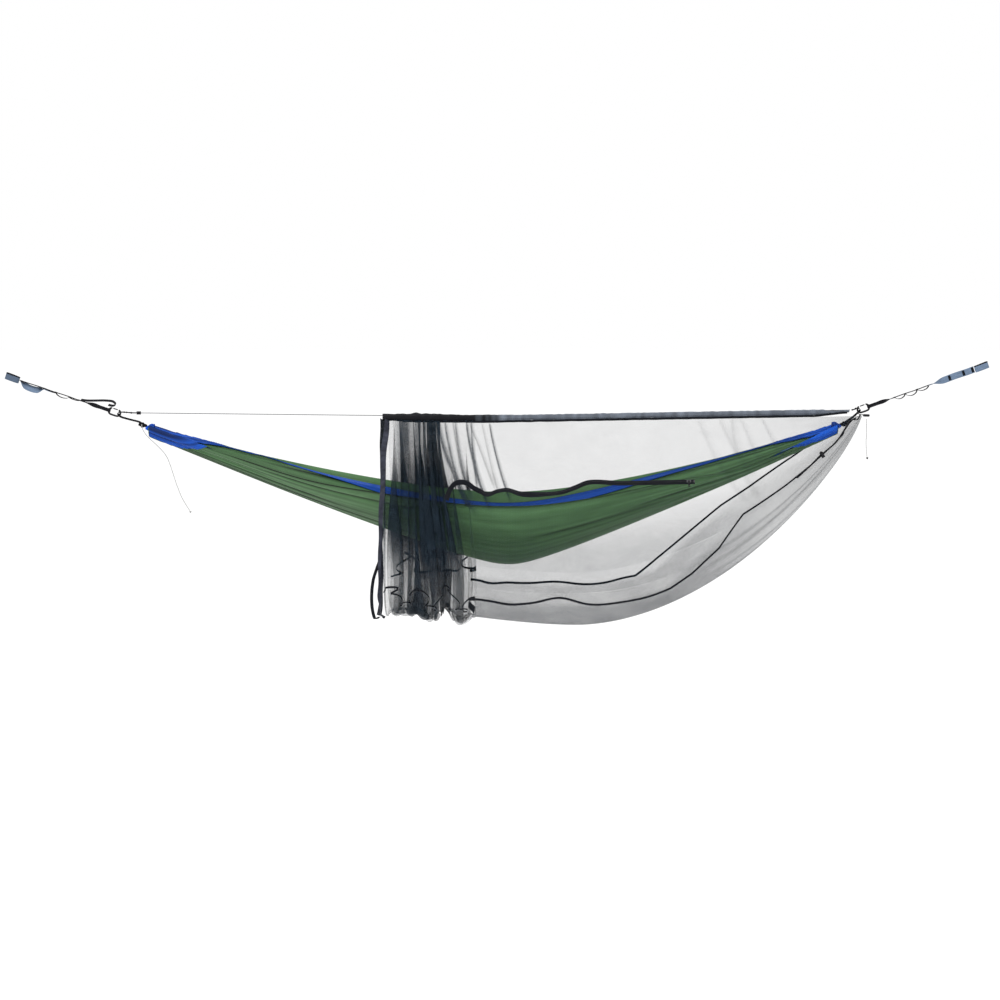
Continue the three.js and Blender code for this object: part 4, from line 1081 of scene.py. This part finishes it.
def crease_lines(x, down, creases):
    """How much thicker the net looks where it is folded on itself along a few slanting creases."""
    thick = 0.0
    for start, slope, bend, width, reach, weight in creases:
        strength = smooth((reach - down) / (0.25 * reach)) * smooth(down * 30 + 0.3)
        t = (x - start - slope * down - bend * down * down) / (width * (1 + 2.5 * down))
        if abs(t) < 3:
            thick += weight * strength * (math.exp(-t * t * 2) + 0.35 * math.exp(-(t - 1.4) ** 2))
    return thick


def net_down(x, s):
    """How far down the net's height a place is, from 0 to 1."""
    top, low, _ = net_section(x)
    return clamp((top - section_point(x, s)[1]) / (top - low))


def net_density(x, s):
    """The share of threads: thicker below the cloth, where two layers of floor show, and at the tip."""
    u = clamp((x - NET["flare"]) / (NET["tip"] - NET["flare"]))
    down = net_down(x, s)
    climb = 0.14 + 0.46 * clamp((x - 2.48) / 0.6)
    below = (1 - down) / climb
    right = smooth((x - 2.45) / 0.5)
    edge_lines = bell(1 - down, 0.045, 0.012) + bell(1 - down, 0.100, 0.012)
    return (0.130 + mix(0.14, 0.07, right) * smooth((down - 0.50) / 0.14)
            + mix(0.27, 0.07, right) * smooth((1.15 - below) / 0.3)
            + mix(0.13, 0.09, right) * smooth((0.34 - below) / 0.34) + 0.16 * u ** 6
            + 0.26 * edge_lines * smooth((x - 2.55) / 0.3))


def make_net(mat):
    n = NET
    fine_to = 2.10  # the creases on its left need closer stations
    xs = list(np.arange(BUNCH_X[1], fine_to, 0.0022))
    xs += [mix(fine_to, n["tip"] - 0.006, (i / 150) ** 0.85) for i in range(151)]
    for side, name in ((-1, "near"), (1, "far")):
        creases = NEAR_CREASES if side < 0 else FAR_CREASES
        shares = [mix(0.0, WALL_END, i / 70) for i in range(71)]
        grid, density = [], []
        for x in xs:
            row, thick = [], []
            for s in shares:
                down = net_down(x, s)
                line = crease_lines(x, down, creases)
                swell = 0.006 * wander(x * 2.2, s * 5, 11 + side) * smooth(s * 6)
                join = smooth((x - n["left"]) / 0.05)
                row.append(net_point(min(n["tip"] - 0.004, x), side, s, swell * join + 0.002 * line))
                thick.append(clamp(net_density(x, s) + line, 0, 0.95))
            grid.append(row)
            density.append(thick)
        uv = np.array([[(x, s * 1.6) for s in shares] for x in xs])
        wall = sheet_mesh(f"net_wall_sheet_{name}", grid, mat["black_net"], uv=uv, density=density)
        place(wall, "suspension", "black_net", f"net_wall_{name}")

    floor_share = 0.80  # it looks thinner than a wall, because it is seen edge on
    columns = [mix(-1, 1, j / 90) for j in range(91)]
    grid, density = [], []
    for x in xs:
        row, thick = [], []
        for c in columns:
            s = mix(1, WALL_END, abs(c))
            swell = 0.008 * wander(x * 2.5, c * 2, 14) * (1 - abs(c)) * smooth((x - n["left"]) / 0.05)
            row.append(net_point(x, -1 if c < 0 else 1, s, swell))
            thick.append(floor_share * net_density(x, s))
        grid.append(row)
        density.append(thick)
    uv = np.array([[(x, 3 + c * 0.4) for c in columns] for x in xs])
    floor = sheet_mesh("net_floor_sheet", grid, mat["black_net"], uv=uv, density=density)
    place(floor, "suspension", "black_net", "net_floor")


CURTAIN_FOLDS = 11.5
# how deep each lobe of its lower edge hangs, where, and its width
CURTAIN_LOBES = ((0.028, 1.722, 0.036), (0.016, 1.610, 0.034), (-0.030, 1.667, 0.016),
                 (-0.008, 1.500, 0.05), (-0.012, 1.555, 0.012))


def curtain_point(u, c, out=0.0, ripple=1.0):
    """A point on the bunched net: u from the open net (0) to the hem (1), c round it from the near
    side of the ridge (-1) through the bottom (0) to the far side (1). Out moves it off the cloth, and
    a ripple under 1 cuts across the folds."""
    side, s = (-1 if c < 0 else 1), 1 - abs(c)
    flat_x = mix(BUNCH_X[1], BUNCH_X[0], u)
    down = net_down(flat_x, s)
    top_x = np.interp(u, (0, 0.16, 0.70, 0.88, 1), (1.775, 1.650, 1.535, 1.480, 1.440))
    low_x = np.interp(u, (0, 0.05, 0.94, 1), (1.775, 1.764, 1.470, 1.440))
    x = mix(top_x, low_x, smooth(down * 1.05))
    ends = smooth(min(u, 1 - u) * 14)
    phase = 2 * math.pi * (CURTAIN_FOLDS * u + 0.31 * side) + 1.5 * wander(u * 5, c * 1.3, 21)
    fold = mix(0.010, 0.034, smooth(down * 1.3)) * ends * (0.8 + 0.55 * wander(u * 9, c * 1.5, 23)) * ripple
    x += fold * math.sin(phase)
    deep = 0.012 * ends * smooth(down * 5) * math.cos(phase) - 0.010 * ends * smooth(down * 5)
    lobes = sum(depth * bell(x, middle, width) for depth, middle, width in CURTAIN_LOBES)
    p = net_point(clamp(x, BUNCH_X[0], BUNCH_X[1]), side, s, deep * ripple + out)
    p.x = clamp(x, BUNCH_X[0] - 0.002, BUNCH_X[1] + 0.002)
    p.z -= (lobes + 0.004 * math.cos(phase) * ends) * smooth((down - 0.66) / 0.34)
    p.z += 0.010 * smooth((0.03 - down) / 0.03)
    return p


def make_curtain(mat):
    us = [i / 420 for i in range(421)]
    cs = [mix(-1, 1, j / 150) for j in range(151)]
    grid = [[curtain_point(u, c) for c in cs] for u in us]
    density = []
    for u, points in zip(us, grid):
        core = smooth(min((u - 0.13) * 5.5, (0.94 - u) * 7))
        edge = smooth(u * 4) * smooth((1 - u) * 25)
        row = []
        for c, point in zip(cs, points):
            down = net_down(1.60, 1 - abs(c))
            upper = smooth((0.52 - down) / 0.3)
            over_cloth = bell(down, 0.47, 0.17)
            base = mix(mix(0.30, 0.48, core), mix(0.22, 0.66, core), upper)
            line = crease_lines(point[0], down, NEAR_CREASES if c < 0 else FAR_CREASES)
            row.append(clamp(base * (0.82 + 0.5 * wander(u * 7, c * 2, 25)) + 0.50 * over_cloth * edge + line,
                             0.05, 0.95))
        density.append(row)
    uv = np.array([[(u * 0.9, c * 1.2) for c in cs] for u in us])
    curtain = sheet_mesh("net_curtain_sheet", grid, mat["black_net"], uv=uv, density=density)
    spread(curtain, -0.5, "black_net", "net_curtain")

    top, low, _ = net_section(1.6)
    for side, name, height in ((-1, "near", 0.15), (1, "far", 0.20)):
        centres, wides = [], []
        for i in range(301):
            u = i / 300
            base = share_at_height(1.6, mix(low, top, height))
            wave = 0.052 * math.sin(2 * math.pi * 3.1 * u + 1.3 * side) * smooth(u * 8)
            c = side * (1 - (base + wave))
            before, at, after = (curtain_point(u, c + step, 0.014, 0.6) for step in (-0.01, 0, 0.01))
            centres.append(at)
            wides.append((after - before).normalized())
        seam = tape(f"bunched_seam_{name}", centres, wides, 0.008, 0.0014, mat["black_webbing"])
        spread(seam, -0.5, "black_webbing")


def make_hem(mat):
    """The hem tape round the net's opening, twisted down each side, and its outside loop."""
    middle = (HEM_X[0] + HEM_X[1]) / 2
    centres, wides, widths = [], [], []
    for i in range(401):
        c = mix(-0.996, 0.996, i / 400)
        side, s = (-1 if c < 0 else 1), 1 - abs(c)
        down = net_down(middle, s)
        p = net_point(middle, side, s, 0.001)
        p.x += 0.005 * math.sin(down * 5.2 + 0.4) - 0.002 - side * 0.009 + 0.003 * wander(down * 5, side, 31)
        before, after = net_point(middle, side, max(0, s - 0.01)), net_point(middle, side, min(1, s + 0.01))
        along = (after - before).normalized()
        outward = along.cross(Vector((1, 0, 0))).normalized()
        twist = 0.55 * math.sin(down * 9 + side) + 0.9 * smooth((down - 0.45) * 3) * math.sin(down * 22)
        p.x += 0.010 * smooth((0.16 - down) / 0.16)
        p.z += 0.008 * smooth((0.03 - down) / 0.03)
        centres.append(p)
        wides.append(Vector((math.cos(twist), 0, 0)) + outward * math.sin(twist))
        widths.append(mix(0.020, 0.016, smooth(down * 1.2)) + 0.004 * math.sin(down * 7))
    hem = tape("net_hem_web", centres, wides, widths, 0.0018, mat["hem_webbing"])
    place(hem, "net_head", "black_webbing", "net_opening_hem")

    x, y = HEM_X[0], net_point(HEM_X[0], -1, 0.62, 0.002).y
    route = ((0.016, 0.010, -0.672), (0.006, 0.006, -0.700), (-0.006, 0.006, -0.740), (-0.012, 0.006, -0.800),
             (-0.008, 0.006, -0.856), (0.002, 0.008, -0.884), (0.016, 0.014, -0.876))
    line, _ = spline([Vector((x + a, y + b, z)) for a, b, z in route], 70)
    lean = [Vector((0.92, 0.39, 0.0))] * 70
    loop = tape("hem_loop_web", line, lean, 0.013, 0.0018, mat["black_webbing"])
    place(loop, "net_head", "black_webbing", "hem_loop")


def sleeve_taper(x):
    """How much slimmer the sleeve is towards the right hook."""
    return 0.0105 * smooth((x - 3.05) / 0.14)


def sleeve_ring(x, swell, seed):
    """Sixteen points round the sleeve: drawn up to the line above, hanging flat below it."""
    ring = []
    for j in range(16):
        a = 2 * math.pi * j / 16
        up = 0.004 + 0.75 * swell if math.sin(a) > 0 else 0.0165 + swell
        pucker = 0.0009 * wander(x * 60, math.sin(a) * 2, seed)
        pucker += swell * 0.5 * wander(x * 34, math.cos(a), seed + 1)
        ring.append((x, math.cos(a) * (0.0045 + swell * 0.7 + pucker * 0.5),
                     ridge_z(x) + math.sin(a) * (up + pucker)))
    return ring


def make_sleeve(mat):
    xs = np.linspace(1.748, 3.194, 620)
    rows = [sleeve_ring(x, 0.0035 * smooth((2.02 - x) * 5) * (0.6 + 0.5 * wander(x * 26, 0, 43))
                        - sleeve_taper(x), 41) for x in xs]
    shade = [[-0.88 * (1 - smooth((x - 1.83) / 0.06)) + 0.25 * wander(x * 55, 0, 48)] * 16 for x in xs]
    sleeve = sheet_mesh("ridge_sleeve_cloth", rows, mat["sleeve_cloth"], closed=True, thick=0.0006, shade=shade)
    place(sleeve, "suspension", "sleeve_cloth", "ridge_sleeve")
    xs = np.linspace(1.424, 1.775, 330)
    rows = []
    for x in xs:
        lump = 0.5 + 0.5 * wander(x * 26, 0, 43)
        dense = smooth((x - 1.46) * 30) * smooth((1.66 - x) * 22)
        swell = 0.0015 + 0.0085 * lump * (0.45 + 0.55 * dense) * smooth((1.90 - x) * 25)
        rows.append(sleeve_ring(x, swell, 44))
    gathered = sheet_mesh("gathered_sleeve_cloth", rows, mat["bunched_sleeve"], closed=True, thick=0.0006)
    spread(gathered, -0.15, "sleeve_cloth", "gathered_sleeve")

    xs = np.linspace(1.500, 3.186, 300)
    outline = ((-0.006, 0.0), (-0.0054, 0.0034), (0, 0.0038), (0.0054, 0.0034), (0.006, 0),
               (0.0054, -0.0036), (0, -0.0044), (-0.0054, -0.0036))
    sections = []
    for x in xs:
        middle = ridge_z(x) - 0.0200 + sleeve_taper(x) + 0.0006 * wander(x * 25, 0, 47)
        sections.append([(x, y * (1 + 0.08 * wander(x * 30, y * 100, 46)), middle + z) for y, z in outline])
    trim = sheet_mesh("ridge_trim_web", sections, mat["black_webbing"], closed=True)
    close_ends(trim, len(sections), len(outline))
    place(trim, "suspension", "black_webbing", "ridge_trim")
    steps = np.arange(1.80, 3.17, 0.0075)
    for side, name in ((-1, "near"), (1, "far")):
        at = [Vector((x, side * 0.0046, ridge_z(x) - 0.0105)) for x in steps]
        sewn = stitches(f"sleeve_stitching_{name}", at, [Vector((1, 0, 0))] * len(at),
                        [Vector((0, side, 0))] * len(at), 0.0045, 0.0011, mat["black_cord"])
        place(sewn, "suspension", "black_cord")


# where each floor seam rises or dips: middle, width, height
SEAM_BUMPS = {-1: ((2.09, 0.085, 0.030), (2.42, 0.09, -0.006), (1.90, 0.05, -0.006)),
              1: ((1.83, 0.05, -0.010), (2.09, 0.09, 0.012), (2.36, 0.06, 0.006))}


def seam_line(side, x, out=0.0048):
    bump = sum(height * bell(x, middle, width) for middle, width, height in SEAM_BUMPS[side])
    s = seam_share(x, side)
    z = section_point(x, s)[1] + bump
    return net_point(x, side, share_at_height(x, z), out)


def make_seams(mat):
    final = 3.215
    for side, name in ((-1, "near"), (1, "far")):
        xs = [mix(NET["left"] + 0.006, final, math.sin(math.pi / 2 * i / 300)) for i in range(301)]
        centres = [seam_line(side, x) for x in xs]
        wides = [square_to(Vector((0, side * 0.35, 1)), along_line(centres, i)) for i in range(len(centres))]
        shares = [(x - xs[0]) / (xs[-1] - xs[0]) for x in xs]
        widths = [0.0095 * (1 - 0.25 * s) for s in shares]
        seam = tape(f"floor_seam_web_{name}", centres, wides, widths, 0.0014, mat["black_webbing"])
        place(seam, "suspension", "black_webbing", f"floor_seam_{name}")


# ---- Zip ----
ZIP_WAVE = ((1.790, -0.416), (1.824, -0.430), (1.861, -0.419), (1.897, -0.415), (1.943, -0.428),
            (1.989, -0.431), (2.094, -0.424), (2.147, -0.407), (2.200, -0.389))
ZIP_ENDS = ((2.314, -0.392), (2.590, -0.386))
ZIP_OFF, ZIP_TAPE = 0.008, 0.024


def on_near_wall(x, z, out):
    return net_point(x, -1, share_at_height(x, z), out)


def make_zip(mat):
    start, end = on_near_wall(*ZIP_ENDS[0], ZIP_OFF), on_near_wall(*ZIP_ENDS[1], ZIP_OFF)
    along = (end - start).normalized()
    middle = (ZIP_ENDS[0][0] + ZIP_ENDS[1][0]) / 2
    up = on_near_wall(middle, ZIP_ENDS[0][1] + 0.009, 0) - on_near_wall(middle, ZIP_ENDS[0][1] - 0.009, 0)
    up = square_to(up, along)
    wave, _ = spline([on_near_wall(x, z, ZIP_OFF) for x, z in ZIP_WAVE] + [start], 150)
    line = wave + [start.lerp(end, i / 60) for i in range(1, 61)]
    wides = [(up + Vector((0, 0.25 * math.sin(p.x * 31) * smooth((2.25 - p.x) * 5), 0))).normalized()
             for p in line]
    zipper = tape("zip_tape_web", line, wides, ZIP_TAPE, 0.0014, mat["black_webbing"])
    place(zipper, "suspension", "black_webbing", "zip_tape")

    teeth_at, teeth_along, teeth_out = [], [], []
    for i in range(0, len(line) - 1):
        a, b = line[i], line[i + 1]
        run = b - a
        for k in range(2):
            at = a + run * (k / 2)
            out = run.normalized().cross(wides[i]).normalized()
            teeth_at.append(at + out * 0.0009)
            teeth_along.append(wides[i])
            teeth_out.append(out)
    teeth = stitches("zip_teeth", teeth_at, teeth_along, teeth_out, 0.0048, 0.0016, mat["black_plastic"])
    place(teeth, "suspension", "black_plastic")

    bunched = ((1.672, -0.452), (1.680, -0.430), (1.690, -0.410), (1.706, -0.396), (1.728, -0.392),
               (1.750, -0.397), (1.772, -0.408), (1.790, -0.416), (1.797, -0.419))
    line, _ = spline([on_near_wall(x, z, 0.014 if x < 1.76 else ZIP_OFF) for x, z in bunched], 110)
    loose = []
    for i in range(len(line)):
        step = along_line(line, i)
        loose.append(square_to(Vector((0.0, -0.15, 1.0)) if step.x > 0.75 else Vector((-step.z, -0.4, step.x)),
                               step))
    piece = tape("zip_tape_bunched", line, loose, 0.020, 0.0014, mat["black_webbing"])
    spread(piece, -0.4, "black_webbing")


# ---- Small parts ----
def make_drawcords(mat):
    """The two strands from the cord lock to the net's tip, and the cord that holds the toggle."""
    low, high = (net_point(x, -1, seam_share(x, -1), 0.017) for x in (3.018, 3.128))
    along = (high - low).normalized()
    side = square_to(Vector((0, 0, 1)), along).cross(along).normalized()
    for sign, name in ((1, "upper"), (-1, "lower")):
        shift = side * (sign * 0.0022)
        points = [low.lerp(high, t) + shift for t in (-0.4, 0, 0.25, 0.5, 0.75, 1)]
        points += [net_point(x, -1, seam_share(x, -1), 0.012) + shift for x in (3.162, 3.192)]
        points += [Vector((3.222, -0.034, -0.164)) + shift, Vector((3.234, -0.016, -0.146)) + shift]
        cord, length, line = tube(f"drawcord_{name}", points, 0.0015, mat["black_cord"], sides=12, count=240,
                                  braid=0.06, pitch=0.004)
        place(cord, "suspension", "black_cord", f"net_drawcord_{name}")

    tie = [Vector(p) for p in ((3.222, -0.020, -0.140), (3.234, -0.014, -0.147), (3.244, -0.0135, -0.1475),
                               (3.252, -0.014, -0.1485))]
    held, _, _ = tube("toggle_tie", tie, 0.0014, mat["black_cord"], sides=12, count=40, braid=0.05,
                      pitch=0.003)
    place(held, "suspension", "black_cord")


def make_tie_out_tab(mat):
    """A square of webbing that hangs by a corner from the near floor seam."""
    top = net_point(1.765, -1, seam_share(1.765, -1), 0.005)
    centre = top + Vector((0, -0.002, -0.028))
    half = 0.024
    rows = []
    for i in range(17):
        v = mix(-1, 1, i / 16)
        row = []
        for j in range(17):
            w = mix(-1, 1, j / 16)
            x, z = (v + w) * 0.28 * half, (v - w) * 0.5 * half
            row.append((centre.x + x - 0.35 * z, centre.y + 0.0022 * math.sin(v * 3) * w, centre.z + z))
        rows.append(row)
    tab = sheet_mesh("tie_out_tab_web", rows, mat["black_webbing"], thick=0.0016)
    place(tab, "suspension", "black_webbing", "tie_out_tab")


# the CAD nodes that stay, and their materials
KEPT = {
    "gate_pin_left": "steel", "gate_pin_right": "steel", "zip_end_stop": "steel", "zip_slider": "steel",
    "cord_lock_spring": "steel", "line_adjuster": "black_plastic", "zip_pull": "black_plastic",
    "cord_lock_barrel": "black_plastic", "cord_lock_plunger": "black_plastic", "end_toggle": "black_plastic",
}


def finish_kept_nodes(mat):
    for node, material in KEPT.items():
        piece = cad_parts[node]
        for slot in piece.material_slots:
            slot.material = mat[material]
        edge = piece.modifiers.new("edge", "BEVEL")
        edge.width, edge.segments, edge.limit_method, edge.angle_limit = 0.0004, 2, "ANGLE", math.radians(35)
        edge.harden_normals = True
        piece.data.polygons.foreach_set("use_smooth", [True] * len(piece.data.polygons))


make_stage()
materials = make_materials()
make_cords(materials)
make_ends(materials)
make_center_panel(materials)
make_side_panels(materials)
make_gathered_ends(materials)
make_net(materials)
make_curtain(materials)
make_hem(materials)
make_sleeve(materials)
make_seams(materials)
make_zip(materials)
make_drawcords(materials)
make_tie_out_tab(materials)
finish_kept_nodes(materials)
bpy.context.scene.cycles.transparent_max_bounces = 64
